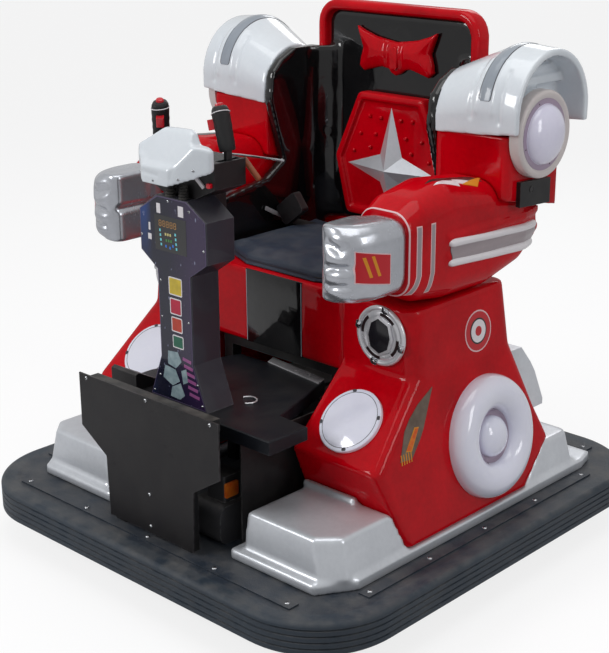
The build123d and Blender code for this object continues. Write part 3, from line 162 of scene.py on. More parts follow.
# %% Effect: hairline scratches
tree, given, result = new_group("scratches", [("Scale", "Float", 30.0), ("Amount", "Float", 0.5)],
    [("Mask", "Float")])
hair = []
for turn in ((0.3, 0.2, 0.5), (1.2, 0.7, 2.1)):
    streaks = add_node(tree, "ShaderNodeTexNoise", {"Vector": object_point(tree, (1, 14, 3), turn),
        "Scale": given["Scale"], "Detail": 2.0}).outputs[0]
    hair.append(spread(tree, streaks, 0.66, 0.74))
where = add_node(tree, "ShaderNodeTexNoise", {"Vector": object_point(tree), "Scale": 9.0, "Detail": 2.0}).outputs[0]
both = maths(tree, "MAXIMUM", hair[0], hair[1])
patchy = maths(tree, "MULTIPLY", both, spread(tree, where, 0.4, 0.7))
tree.links.new(maths(tree, "MULTIPLY", patchy, given["Amount"], clamp=True), result["Mask"])

# %% Effect: settled dust
tree, given, result = new_group("dust", [("Amount", "Float", 0.3), ("Scale", "Float", 14.0)], [("Mask", "Float")])
facing = add_node(tree, "ShaderNodeSeparateXYZ",
    {0: add_node(tree, "ShaderNodeNewGeometry").outputs["Normal"]}).outputs[2]
lying = spread(tree, facing, 0.3, 1.0, 0.12, 1.0)
drift = add_node(tree, "ShaderNodeTexNoise", {"Vector": object_point(tree), "Scale": given["Scale"], "Detail": 8.0,
    "Roughness": 0.65}).outputs[0]
mask = maths(tree, "MULTIPLY", lying, spread(tree, drift, 0.38, 0.75))
tree.links.new(maths(tree, "MULTIPLY", mask, given["Amount"], clamp=True), result["Mask"])

# %% Effect: pebbled grain
tree, given, result = new_group("pebbles", [("Scale", "Float", 300.0)], [("Height", "Float")])
cells = add_node(tree, "ShaderNodeTexVoronoi", {"Vector": object_point(tree), "Scale": given["Scale"]},
    feature="DISTANCE_TO_EDGE").outputs["Distance"]
tree.links.new(spread(tree, cells, 0.0, 0.18), result["Height"])
print("effects:", [g.name for g in bpy.data.node_groups])

# %% [markdown]
# ## Finishes
# One recipe serves most surfaces. It starts from a Principled shader, lays uneven colour, rubbed edges, scratches
# and dust over it in that order, and adds a fine relief. What differs from finish to finish is the numbers.

# %% The finish recipe
def effect(tree, name, **inputs):
    group = add_node(tree, "ShaderNodeGroup", node_tree=bpy.data.node_groups[name])
    for key, value in inputs.items():
        group.inputs[key].default_value = value
    return group


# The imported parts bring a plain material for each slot. They step aside, so that the finishes bear the slots' names.
for plain in bpy.data.materials:
    plain.name = "plain_" + plain.name
finishes = {}
dust_colour = srgb(150, 145, 138)
hair_gloss, dust_gloss = 0.35, 0.5               # how much scratches and dust add to the roughness


def finish(name, colour, deep, rough, metal=0.0, coat=0.0, mottle=0.4, mottle_scale=6.0, wear=0.0,
           wear_colour=(200, 200, 200), scratch=0.3, dust=0.2, relief=("smooth", 40.0, 0.0002), pattern=None,
           specular=0.3):
    """A Principled material made of the shared effects. pattern, if given, repaints the base colour, and relief
    is its kind, its scale and its depth in metres."""
    material = bpy.data.materials.new(name)
    finishes[name] = material
    material.use_nodes = True
    tree = material.node_tree
    shader = tree.nodes["Principled BSDF"]
    ground = effect(tree, "uneven_colour", Colour=srgb(*colour), Deep=srgb(*deep), Scale=mottle_scale,
                    Amount=mottle).outputs[0]
    if pattern:
        ground = pattern(tree, ground)
    hairs = effect(tree, "scratches", Amount=scratch).outputs[0]
    if wear:
        ground = blended(tree, effect(tree, "rubbed_edges", Amount=wear).outputs[0], ground, srgb(*wear_colour))
    settled = effect(tree, "dust", Amount=dust).outputs[0]
    tree.links.new(blended(tree, settled, ground, dust_colour), shader.inputs["Base Color"])
    gloss = maths(tree, "ADD", maths(tree, "MULTIPLY", hairs, hair_gloss),
                  maths(tree, "MULTIPLY", settled, dust_gloss))
    tree.links.new(maths(tree, "ADD", gloss, rough, clamp=True), shader.inputs["Roughness"])
    if metal:
        tree.links.new(maths(tree, "SUBTRACT", metal, maths(tree, "MULTIPLY", settled, metal), clamp=True),
                       shader.inputs["Metallic"])
    if coat:
        tree.links.new(maths(tree, "SUBTRACT", coat, gloss, clamp=True), shader.inputs["Coat Weight"])
        shader.inputs["Coat Roughness"].default_value = 0.04
    shader.inputs["Specular IOR Level"].default_value = specular
    kind, scale, depth = relief
    if kind == "pebbles":
        height = effect(tree, "pebbles", Scale=scale).outputs["Height"]
    else:
        height = add_node(tree, "ShaderNodeTexNoise", {"Vector": object_point(tree), "Scale": scale,
            "Detail": 3.0}).outputs[0]
    bump = add_node(tree, "ShaderNodeBump", {"Height": height, "Strength": 1.0, "Distance": depth})
    tree.links.new(bump.outputs[0], shader.inputs["Normal"])
    return material

# %% Moulded shells, paint and lamps
gloss_red = finish("gloss_red", (206, 0, 20), (146, 0, 9), 0.15, specular=0.0, coat=0.4, mottle=0.7, wear=0.35,
    wear_colour=(214, 60, 66), scratch=0.2, dust=0.03, relief=("smooth", 18.0, 0.0009))
gloss_black = finish("gloss_black", (10, 10, 12), (18, 18, 22), 0.14, specular=0.2, coat=0.8, mottle=0.3,
    scratch=0.35, dust=0.12, relief=("smooth", 14.0, 0.0035))
finish("pad_white", (228, 234, 240), (204, 212, 222), 0.2, coat=0.8, mottle=0.45, wear=0.2,
       wear_colour=(190, 192, 196), scratch=0.25, dust=0.1, relief=("smooth", 20.0, 0.0007))
silver = finish("silver", (222, 226, 232), (178, 182, 190), 0.3, metal=0.5, coat=0.3, mottle=0.5, mottle_scale=5.0,
                wear=0.2, wear_colour=(214, 216, 220), dust=0.1, relief=("smooth", 14.0, 0.0006))
lamp_white = finish("lamp_white", (240, 241, 254), (222, 224, 249), 0.12, coat=1.0, scratch=0.15, dust=0.05,
    relief=("smooth", 12.0, 0.0004))
# The fists' silver is a darker copy of the feet's silver paint: painted shade that makes the fists render darker.
fist_silver = finish("fist_silver", (196, 199, 206), (150, 153, 160), 0.24, metal=0.75, coat=0.2, mottle=0.5,
    mottle_scale=5.0, wear=0.2, wear_colour=(214, 216, 220), dust=0.05, relief=("smooth", 14.0, 0.0006))
chrome = finish("chrome", (205, 206, 210), (160, 162, 168), 0.08, metal=1.0, scratch=0.35, dust=0.08,
                relief=("smooth", 18.0, 0.0003))

# %% Rubber, sheet metal, vinyl and running gear
finish("bumper_black", (50, 60, 71), (34, 41, 50), 0.42, mottle=0.5, wear=0.4, wear_colour=(84, 90, 98), scratch=0.5,
       dust=0.35, relief=("pebbles", 900.0, 0.0001))
finish("deck_slate", (46, 54, 65), (32, 38, 47), 0.38, mottle=0.6, wear=0.4, wear_colour=(96, 102, 110), scratch=0.6,
       dust=0.3, relief=("pebbles", 260.0, 0.0003))
panel_black = finish("panel_black", (25, 23, 26), (15, 13, 16), 0.36, mottle=0.5, wear=0.45, wear_colour=(96, 94, 98),
    scratch=0.6, dust=0.25, relief=("pebbles", 700.0, 0.00012))
# The platform's slate is a darker copy of the deck's slate paint: painted shade on its top, which the overhead lamp
# lights.
platform_slate = finish("platform_slate", (25, 27, 33), (13, 15, 20), 0.34, specular=0.2, mottle=0.8,
    mottle_scale=7.0, wear=0.4, wear_colour=(84, 90, 98), scratch=0.6, dust=0.06, relief=("pebbles", 500.0, 0.0001))
frame_black = finish("frame_black", (24, 24, 26), (14, 14, 16), 0.38, wear=0.5, wear_colour=(90, 90, 92), dust=0.4)
finish("column_slate", (50, 50, 60), (32, 32, 40), 0.32, coat=0.2, wear=0.4, wear_colour=(128, 130, 136), scratch=0.5,
       dust=0.15, relief=("pebbles", 800.0, 0.0001))
vinyl = finish("vinyl", (47, 59, 76), (33, 41, 54), 0.38, mottle=0.5, wear=0.25, wear_colour=(92, 100, 108),
               scratch=0.2, relief=("pebbles", 420.0, 0.0004))
finish("motor_grey", (84, 84, 88), (58, 58, 62), 0.45, metal=0.3, mottle=0.5, wear=0.5, dust=0.45)
tyre_black = finish("tyre_black", (26, 26, 27), (44, 43, 41), 0.7, mottle=0.7, scratch=0.2, dust=0.6)
finish("caster_grey", (112, 112, 110), (80, 79, 76), 0.55, mottle=0.6, dust=0.5)
finish("zinc", (172, 174, 178), (130, 130, 130), 0.35, metal=0.9, mottle=0.7, scratch=0.5, dust=0.3)
finish("battery_grey", (78, 78, 82), (60, 60, 64), 0.5, dust=0.4)
grip_black = finish("grip_black", (26, 26, 28), (16, 16, 18), 0.4, dust=0.12, relief=("pebbles", 1100.0, 0.00015))
finish("display_black", (8, 9, 12), (14, 15, 20), 0.1, coat=1.0, mottle=0.3, scratch=0.2, dust=0.05)
print("finishes:", len(finishes))

# %% [markdown]
# ## Dress the CAD nodes
# A CAD part whose shape is already right only needs its finish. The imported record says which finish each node
# belongs to, so the materials above carry the same names, and one loop hands them out.

# %% Hand out the finishes
for part in frame["record"]["subparts"]:
    if part["node"] in nodes:
        mesh = nodes[part["node"]].data
        mesh.materials.clear()
        mesh.materials.append(finishes[part["material_slot"]])
# The platform gets the darker copy of the slate: painted shade.
nodes["platform"].data.materials[0] = platform_slate
print("dressed:", sum(len(o.data.materials) == 1 for o in nodes.values()))

# %% [markdown]
# ## Soft moulded shells
# The red and silver housings are fibreglass, laid up in a mould. No edge of theirs is sharp: the mould rounds
# all of them. A copy of the CAD solid is turned into an even skin of small quads (a voxel remesh) and then
# relaxed, which rounds every edge by about the same radius, as a mould does.

# %% Piece helpers
def link(name, mesh):
    piece = bpy.data.objects.new(name, mesh)
    bpy.context.scene.collection.objects.link(piece)
    return piece


def bake(piece):
    """Turns what the modifiers make into a plain mesh and removes them."""
    graph = bpy.context.evaluated_depsgraph_get()
    mesh = bpy.data.meshes.new_from_object(piece.evaluated_get(graph))
    piece.modifiers.clear()
    piece.data = mesh
    return piece


def dress(piece, material=None, body="chassis", replaces=(), slot=None):
    """Gives a piece its finish, the body it rides on and the CAD nodes it stands for; slot is not used."""
    if material is not None:
        piece.data.materials.clear()
        piece.data.materials.append(material)
    piece.data.shade_smooth()
    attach(piece, body)
    if replaces:
        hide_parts(*replaces)
    return piece


def mesh_of(form, name):
    """The mesh of a form (a bmesh), which isn't needed any more."""
    mesh = bpy.data.meshes.new(name)
    form.to_mesh(mesh)
    form.free()
    return mesh


def form_of(mesh):
    form = bmesh.new()
    form.from_mesh(mesh)
    return form


def copy_of(node):
    """A CAD node's mesh with its loose triangles joined."""
    form = form_of(nodes[node].data)
    bmesh.ops.remove_doubles(form, verts=form.verts, dist=2e-5)
    return mesh_of(form, node + "_copy")


def relax(piece, voxel, passes):
    """Skins a piece with even quads of the voxel size (metres) and smooths it by so many passes."""
    skin = piece.modifiers.new("skin", "REMESH")
    skin.mode = "VOXEL"
    skin.voxel_size = voxel
    soft = piece.modifiers.new("soft", "SMOOTH")
    soft.factor = 0.5
    soft.iterations = passes
    return bake(piece)


def mirrored(mesh, name):
    """The same mesh on the other side of the car, with its faces turned the right way again."""
    form = form_of(mesh)
    bmesh.ops.scale(form, vec=(-1, 1, 1), verts=form.verts)
    bmesh.ops.reverse_faces(form, faces=form.faces)
    return mesh_of(form, name)

# %% Mould the shells
def both_sides(stem, left, material, node, slot=None):
    """Mirrors the left piece, dresses both and returns them by side."""
    pair = {"left": left, "right": link(stem + "_right", mirrored(left.data, stem + "_right"))}
    for side, piece in pair.items():
        dress(piece, material, replaces=[f"{node}_{side}"], slot=slot)
    return pair


pairs = {}
paired = [("leg_shell", "gloss_red", 0.0065, 7), ("arm", "gloss_red", 0.0045, 8), ("shoulder", "gloss_red", 0.005, 8),
          ("shoulder_pad", "pad_white", 0.004, 7), ("foot", "silver", 0.0058, 4)]
for stem, finish_name, voxel, passes in paired:
    left = relax(link(stem + "_moulded_left", copy_of(stem + "_left")), voxel, passes)
    pairs[stem] = both_sides(stem + "_moulded", left, finishes[finish_name], stem)
    print(stem, "faces:", len(left.data.polygons))

single = [("backrest_shell", "gloss_red", 0.0062, 4), ("backrest_liner", "gloss_black", 0.0058, 5),
          ("column_cover", "pad_white", 0.0035, 8), ("seat_tub", "gloss_red", 0.0075, 2),
          ("back_panel", "gloss_red", 0.004, 3)]
for node, finish_name, voxel, passes in single:
    piece = relax(link(node + "_moulded", copy_of(node)), voxel, passes)
    dress(piece, finishes[finish_name], replaces=[node])
    print(node, "faces:", len(piece.data.polygons))

# %% [markdown]
# ## Tools for the small parts
# Small parts come in a few shapes: flat plates cut to an outline, turned rings, bent rods and rounded blocks. Each
# tool below adds one such shape to a form (a bmesh), so that one piece can hold many. A placing matrix says where
# the shape lies: its x and y run along the face and its z points out of it.

# %% Shape tools
def face_at(origin, across, upward):
    """The placing matrix of a face: x runs across it, y up it and z out of it."""
    across, upward = Vector(across).normalized(), Vector(upward)
    out = across.cross(upward).normalized()
    return Matrix.Translation(origin) @ Matrix((across, out.cross(across), out)).transposed().to_4x4()


def plate(form, outline, place, low, high, bevel=0.0):
    """A flat plate cut to the outline, between two heights above the face."""
    bottom = [form.verts.new(place @ Vector((x, y, low))) for x, y in outline]
    top = [form.verts.new(place @ Vector((x, y, high))) for x, y in outline]
    form.faces.new(bottom[::-1])
    lid = form.faces.new(top)
    for i in range(len(outline)):
        form.faces.new((bottom[i - 1], bottom[i], top[i], top[i - 1]))
    if bevel:
        bmesh.ops.bevel(form, geom=list(lid.edges), offset=bevel, segments=2, profile=0.6, affect="EDGES",
                        clamp_overlap=True)


def oval(half_x, half_y, sides):
    """Points on an oval, in order."""
    angles = [math.tau * k / sides for k in range(sides)]
    return [(half_x * math.cos(a), half_y * math.sin(a)) for a in angles]


def turned(form, profile, place, steps=32):
    """A ring or knob turned on a lathe from rows of (radius, height); a radius of 0 closes it."""
    rings = []
    for radius, height in profile:
        spots = oval(radius, radius, steps)[:steps if radius > 1e-6 else 1]
        rings.append([form.verts.new(place @ Vector((x, y, height))) for x, y in spots])
    for lower, upper in zip(rings, rings[1:]):
        for i in range(steps):
            corners = [lower[i % len(lower)], lower[(i + 1) % len(lower)], upper[(i + 1) % len(upper)],
                       upper[i % len(upper)]]
            unlike = [v for k, v in enumerate(corners) if v not in corners[:k]]
            if len(unlike) > 2:
                form.faces.new(unlike)


def skinned(form, rings):
    """Faces between rings of the same number of corners, with both ends closed."""
    for lower, upper in zip(rings, rings[1:]):
        for k in range(len(lower)):
            form.faces.new((lower[k - 1], lower[k], upper[k], upper[k - 1]))
    form.faces.new(rings[0][::-1])
    form.faces.new(rings[-1])


def rod(form, points, radii, sides=12):
    """A round bar through the points; radii is one number, or one for each point."""
    points = [Vector(p) for p in points]
    radii = radii if isinstance(radii, (list, tuple)) else [radii] * len(points)
    rings, across = [], None
    for i, point in enumerate(points):
        along = (points[min(i + 1, len(points) - 1)] - points[max(i - 1, 0)]).normalized()
        across = (along.orthogonal() if across is None else across - along * across.dot(along)).normalized()
        other = along.cross(across)
        rings.append([form.verts.new(point + radii[i] * (across * c + other * s)) for c, s in oval(1, 1, sides)])
    skinned(form, rings)


def capsule(form, start, end, radius, sides=12):
    """A bar with round ends."""
    start, end = Vector(start), Vector(end)
    along = (end - start).normalized()
    caps = [(math.cos(a), math.sin(a)) for a in (math.radians(d) for d in (86, 60, 35, 12))]
    points = [start - along * radius * s for c, s in caps] + [end + along * radius * s for c, s in caps[::-1]]
    rod(form, points, [radius * c for c, s in caps] + [radius * c for c, s in caps[::-1]], sides)


def rounded_block(form, outline, low, high, radius, segments=5, place=Matrix.Identity(4)):
    """A block over a plan outline whose edges are all rounded by the radius."""
    part = bmesh.new()
    plate(part, outline, place, low, high)
    bmesh.ops.bevel(part, geom=part.edges[:], offset=radius, segments=segments, profile=0.5, affect="EDGES",
                    clamp_overlap=True)
    mesh = mesh_of(part, "block")
    form.from_mesh(mesh)
    bpy.data.meshes.remove(mesh)


def oblong(half_x, half_y, corner, steps=5, middle=(0.0, 0.0)):
    """The outline of a rectangle with round corners."""
    outline = []
    for k, (sx, sy) in enumerate(((1, 1), (-1, 1), (-1, -1), (1, -1))):
        for i in range(steps + 1):
            angle = math.pi / 2 * (k + i / steps)
            outline.append((middle[0] + sx * (half_x - corner) + corner * math.cos(angle),
                            middle[1] + sy * (half_y - corner) + corner * math.sin(angle)))
    return outline


def arc_band(inner, outer, start, end, steps=10):
    """The outline of a piece of a flat ring, between two angles in degrees."""
    angles = [math.radians(start + (end - start) * i / steps) for i in range(steps + 1)]
    rims = [[(radius * math.cos(a), radius * math.sin(a)) for a in angles] for radius in (outer, inner)]
    return rims[0] + rims[1][::-1]


def made(name, form, material, sharp=38, **how):
    """Turns a form into a finished piece: normals outward, smooth faces, crisp edges past the sharp angle."""
    bmesh.ops.recalc_face_normals(form, faces=form.faces)
    piece = dress(link(name, mesh_of(form, name)), material, **how)
    piece.data.set_sharp_from_angle(angle=math.radians(sharp))
    return piece


def build(name, material, *shapes, **how):
    """One piece from rows of (shape tool, what the tool needs)."""
    form = bmesh.new()
    for tool, *needs in shapes:
        tool(form, *needs)
    return made(name, form, material, **how)


def above_deck(corners):
    """Corners (x, height above the deck) as (x, z)."""
    return [(x, D + z) for x, z in corners]


def rows_at(y, corners, facing=FRONT):
    """Places on an upright face at this y, each with the way it faces."""
    return [((x, y, D + z), facing) for x, z in corners]


def round_place(place, radius, angle, height=0.0):
    """The placing matrix of a spot on a circle about the middle of a face, at an angle in degrees."""
    return place @ Matrix.Rotation(math.radians(angle), 4, "Z") @ Matrix.Translation((radius, 0, height))

# %% [markdown]
# Stickers, painted bands and inlays follow the curved shell under them. Each is peeled off the shell itself: a
# copy of the shell is cut by planes until only the patch is left, and the patch is lifted by a fraction of a
# millimetre and given a rim. It then fits the curve exactly. A second tool pushes the skin in or out along a line,
# as a sculptor draws a crease.

# %% Peeling and sculpting
def peel(name, host, planes, lift, material, **how):
    """planes are (point, normal) rows; what lies on a normal's side of its plane is cut away."""
    form = form_of(host.data)
    for point, normal in planes:
        bmesh.ops.bisect_plane(form, geom=form.verts[:] + form.edges[:] + form.faces[:], dist=1e-6, plane_co=point,
            plane_no=normal, clear_outer=True)
    form.normal_update()
    base = {v: v.normal.copy() for v in form.verts}
    grown = bmesh.ops.extrude_face_region(form, geom=form.verts[:] + form.edges[:] + form.faces[:],
        use_keep_orig=True)["geom"]
    tree = {tuple(round(c, 7) for c in v.co): n for v, n in base.items()}
    for v in grown:
        if isinstance(v, bmesh.types.BMVert):
            v.co += tree[tuple(round(c, 7) for c in v.co)] * lift
    for v, normal in base.items():
        v.co -= normal * 0.0004
    return made(name, form, material, sharp=60, **how)


def patch(corners, axis, keep):
    """Cutting planes for a convex patch seen along an axis; keep is the plane that drops the far side."""
    middle = sum(corners, Vector()) / len(corners)
    planes = [keep]
    for a, b in zip(corners, corners[1:] + corners[:1]):
        normal = (b - a).cross(Vector(axis)).normalized()
        planes.append((a, normal if normal.dot(a - middle) > 0 else -normal))
    return planes


def side_patch(corners, side, x_keep):
    """A patch on the car's side, from corners (y, height above the deck) in order."""
    return patch([Vector((0, y, D + z)) for y, z in corners], X, ((side * x_keep, 0, 0), (-side, 0, 0)))


def top_patch(corners, z_keep):
    """A patch seen from above, from corners (x, y) in order."""
    return patch([Vector((x, y, 0)) for x, y in corners], Z, ((0, 0, z_keep), (0, 0, -1)))


def sculpt(piece, path, width, depth):
    """Pushes the skin in along a path (out, where depth is negative); the groove fades out over the width."""
    path = [Vector(p) for p in path]
    moves = []
    for v in piece.data.vertices:
        gaps = []
        for a, b in zip(path, path[1:]):
            near, share = geometry.intersect_point_line(v.co, a, b)
            gaps.append((v.co - near).length if 0 <= share <= 1 else min((v.co - a).length, (v.co - b).length))
        gap = min(gaps)
        if gap < width:
            moves.append((v.index, v.normal.copy() * depth * (1 - gap / width) ** 2))
    for i, move in moves:
        piece.data.vertices[i].co -= move


def skin_points(host, rays):
    """(place, normal) of the host's skin for each (start, direction) whose ray meets it."""
    hits = [host.ray_cast(Vector(start), Vector(direction)) for start, direction in rays]
    return [(place, normal) for hit, place, normal, face in hits if hit]

# %% [markdown]
# ## Screws
# The real car is held together by dozens of bright pan-head screws and rivets. One Geometry Nodes tree makes them
# all: it reads points that carry the direction they face, sets a domed head with a cross on each, and turns every
# head by a random angle, as screws end up in life.

# %% The screw tree
def point_tree(name, floats, others, output):
    """A Geometry Nodes tree that takes points, with named inputs. Returns its tree, inputs, outputs and aim."""
    tree = bpy.data.node_groups.new(name, "GeometryNodeTree")
    tree.interface.new_socket("Points", in_out="INPUT", socket_type="NodeSocketGeometry")
    for label, kind, value in floats + others:
        socket = tree.interface.new_socket(label, in_out="INPUT", socket_type="NodeSocket" + kind)
        if value is not None:
            socket.default_value = value
    tree.interface.new_socket(output, in_out="OUTPUT", socket_type="NodeSocketGeometry")
    given, result = tree.nodes.new("NodeGroupInput").outputs, tree.nodes.new("NodeGroupOutput").inputs
    facing = add_node(tree, "GeometryNodeInputNamedAttribute", {"Name": "facing"},
        data_type="FLOAT_VECTOR").outputs[0]
    aimed = add_node(tree, "FunctionNodeAlignRotationToVector", {"Vector": facing}, axis="Z").outputs[0]
    return tree, given, result, aimed


def joined(tree, parts):
    together = tree.nodes.new("GeometryNodeJoinGeometry")
    for part in parts:
        tree.links.new(part, together.inputs[0])
    return together.outputs[0]


def on_points(tree, points, shape, turn):
    """Sets the shape on each point and makes the copies real."""
    placed = add_node(tree, "GeometryNodeInstanceOnPoints",
        {"Points": points, "Instance": shape, "Rotation": turn}).outputs[0]
    return add_node(tree, "GeometryNodeRealizeInstances", {"Geometry": placed}).outputs[0]


def from_points(name, rows, tree, wanted):
    """The mesh that a point tree makes from rows of (place, facing) and values for its named inputs."""
    mesh = bpy.data.meshes.new(name)
    mesh.from_pydata([place for place, facing in rows], [], [])
    aims = [c for place, facing in rows for c in facing]
    mesh.attributes.new("facing", "FLOAT_VECTOR", "POINT").data.foreach_set("vector", aims)
    piece = link(name, mesh)
    maker = piece.modifiers.new("maker", "NODES")
    maker.node_group = tree
    for item in tree.interface.items_tree:
        if item.in_out == "INPUT" and item.name in wanted:
            maker[item.identifier] = wanted[item.name]
    return bake(piece)


def screw_tree():
    """A flattened ball for the head and two crossed bars, a little proud of it, that stand for the recess and carry
    its painted shade.
    """
    tree, given, result, aimed = point_tree("pan_head_screws",
        [("Head radius", "Float", 0.005), ("Head height", "Float", 0.003), ("Seed", "Int", 1)],
        [("Metal", "Material", None), ("Recess", "Material", None)], "Screws")
    radius, height = given["Head radius"], given["Head height"]
    ball = add_node(tree, "GeometryNodeMeshUVSphere", {"Segments": 14, "Rings": 8, "Radius": radius}).outputs[0]
    flat = add_node(tree, "ShaderNodeCombineXYZ", {0: 1.0, 1: 1.0, 2: maths(tree, "DIVIDE", height,
        radius)}).outputs[0]
    dome = add_node(tree, "GeometryNodeTransform", {"Geometry": ball, "Scale": flat}).outputs[0]
    sides = [maths(tree, "MULTIPLY", radius, share) for share in (1.25, 0.26)]
    bars = []
    for across, along in (sides, sides[::-1]):
        size = add_node(tree, "ShaderNodeCombineXYZ", {0: across, 1: along,
            2: maths(tree, "MULTIPLY", height, 0.4)}).outputs[0]
        bars.append(add_node(tree, "GeometryNodeMeshCube", {"Size": size}).outputs[0])
    raised = add_node(tree, "ShaderNodeCombineXYZ", {2: maths(tree, "MULTIPLY", height, 0.82)}).outputs[0]
    cross = add_node(tree, "GeometryNodeTransform", {"Geometry": joined(tree, bars),
        "Translation": raised}).outputs[0]
    marked = add_node(tree, "GeometryNodeStoreNamedAttribute",
        {"Geometry": cross, "Name": "is_recess", "Value": True}, data_type="BOOLEAN", domain="FACE").outputs[0]
    chance = add_node(tree, "FunctionNodeRandomValue", {"Seed": given["Seed"]}, data_type="FLOAT")
    chance.inputs[3].default_value = 3.14
    twist = add_node(tree, "ShaderNodeCombineXYZ", {2: chance.outputs[1]}).outputs[0]
    turn = add_node(tree, "FunctionNodeRotateRotation", {0: aimed, 1: twist}, rotation_space="LOCAL").outputs[0]
    real = on_points(tree, given["Points"], joined(tree, (marked, dome)), turn)
    metal = add_node(tree, "GeometryNodeSetMaterial", {"Geometry": real, "Material": given["Metal"]}).outputs[0]
    is_recess = add_node(tree, "GeometryNodeInputNamedAttribute", {"Name": "is_recess"},
        data_type="BOOLEAN").outputs[0]
    both = add_node(tree, "GeometryNodeSetMaterial", {"Geometry": metal, "Selection": is_recess,
        "Material": given["Recess"]}).outputs[0]
    tree.links.new(both, result[0])
    return tree


def screws(name, rows, radius, height, seed, metal=None):
    """Screws at rows of (place, facing); the metal is bright unless one is named."""
    wanted = {"Head radius": radius, "Head height": height, "Seed": seed, "Metal": metal or screw_metal,
              "Recess": recess_dark}
    return dress(from_points(name, rows, screw_nodes, wanted), slot="zinc")


screw_nodes = screw_tree()
screw_metal = finish("screw_metal", (196, 198, 202), (150, 152, 156), 0.22, metal=1.0, mottle=0.5, scratch=0.4,
    dust=0.15)
satin_metal = finish("satin_metal", (220, 220, 224), (184, 184, 189), 0.24, metal=0.5, coat=0.3, mottle=0.5,
    mottle_scale=18.0, scratch=0.5, dust=0.1)
# The recess finish is painted shade: a dark colour on the raised cross where the screw's recess lies in shadow. The
# shoulder lamps' screws wear it all over as dark heads.
recess_dark = finish("recess_dark", (20, 20, 22), (40, 38, 36), 0.6, mottle=0.6, dust=0.3)
print("tree:", screw_nodes.name, len(screw_nodes.nodes), "nodes")

# %% Deck screws
strip_top, plate_y = 0.004, -0.566                # the edge strips above the deck, and the front plate's face
deck_rows = [((x, s * 0.577, D + strip_top), Z) for s in (-1, 1) for x in (-0.462, -0.231, 0, 0.231, 0.462)]
deck_rows += [((s * 0.56, y, D + strip_top), Z) for s in (-1, 1) for y in (-0.418, -0.209, 0, 0.209, 0.418)]
screws("deck_screws", deck_rows, 0.0062, 0.0034, seed=4)
plate_rows = rows_at(plate_y, [(-0.217, 0.347), (0, 0.347), (0.217, 0.347), (0, 0.11), (0, 0.027)])
screws("plate_screws", plate_rows, 0.0052, 0.003, seed=7)
print("deck and plate screws:", len(deck_rows) + len(plate_rows))

# %% [markdown]
# ## Fists
# The silver fists are blunt mouldings: a rounded block that narrows a little to the front, two soft knuckle
# blocks on the inner side, a thumb line that steps across the upper front and two short creases below it. Rounded
# blocks are joined by the voxel skin, relaxed, and then creased along those lines.

# %% Fists
form = bmesh.new()
rounded_block(form, [(0.346, -0.362), (0.436, -0.362), (0.465, -0.285), (0.465, -0.175), (0.346, -0.175)], D + 0.612,
              D + 0.786, 0.04, 7)
knuckle = oblong(0.032, 0.06, 0.022, middle=(0.374, -0.29))
rounded_block(form, knuckle, D + 0.697, D + 0.785, 0.022, 6)
rounded_block(form, knuckle, D + 0.613, D + 0.701, 0.022, 6)
left = relax(link("fist_sculpted_left", mesh_of(form, "fist_form")), 0.004, 14)
creases = [([(0.425, -0.34, 0.8), (0.432, -0.362, 0.772), (0.44, -0.362, 0.754), (0.414, -0.366, 0.736),
             (0.376, -0.366, 0.748)], 0.024, 0.02), ([(0.452, -0.35, 0.7), (0.376, -0.364, 0.694)], 0.019, 0.014),
           ([(0.442, -0.352, 0.659), (0.376, -0.362, 0.653)], 0.017, 0.011),
           ([(0.342, -0.345, 0.699), (0.342, -0.225, 0.699)], 0.019, 0.011),
           ([(0.362, -0.364, 0.77), (0.362, -0.368, 0.64)], 0.016, -0.004)]
for line, width, depth in creases:
    sculpt(left, [(x, y, D + z) for x, y, z in line], width, depth)
left = relax(left, 0.0036, 3)
fists = both_sides("fist_sculpted", left, fist_silver, "fist", slot="silver")
print("fist faces:", len(left.data.polygons))

# %% [markdown]
# The panel on the outer side of each fist is a plain printed rectangle with a pale border. It is peeled off the
# fist in two layers, border first.

# %% Fist panels
panel_red = finish("panel_red", (196, 10, 30), (170, 6, 22), 0.3, coat=0.3, mottle=0.3, dust=0.1)
border_pale = finish("border_pale", (232, 196, 200), (214, 170, 176), 0.34, mottle=0.3, dust=0.1)
amber = finish("amber", (226, 150, 40), (200, 120, 24), 0.34, mottle=0.3, dust=0.1)
for side, sign in SIDES:
    for layer, grow, lift, material in (("border", 0.0022, 0.0005, border_pale), ("field", 0.0, 0.0009, panel_red)):
        corners = [(-0.338 - grow, 0.736 + grow), (-0.252 + grow, 0.718 + grow), (-0.252 + grow, 0.653 - grow),
                   (-0.338 - grow, 0.669 - grow)]
        peel(f"fist_panel_{layer}_{side}", fists[side], side_patch(corners, sign, 0.4), lift, material)
    for i in range(2):
        low = -0.326 + i * 0.022
        peel(f"fist_panel_bar_{i}_{side}", fists[side],
             side_patch([(low, 0.723), (low + 0.008, 0.723), (low + 0.026, 0.676), (low + 0.018, 0.676)], sign, 0.4),
             0.0012, amber)
print("fist panels peeled")

# %% [markdown]
# ## Arms
# A pale line runs round the mouth of each arm, two slanted bands stand behind it, and two white ridges run along
# the outer side with a grey band between them. The ridges are round bars half sunk into the shell. Rays shot at
# the shell find the line that they follow.

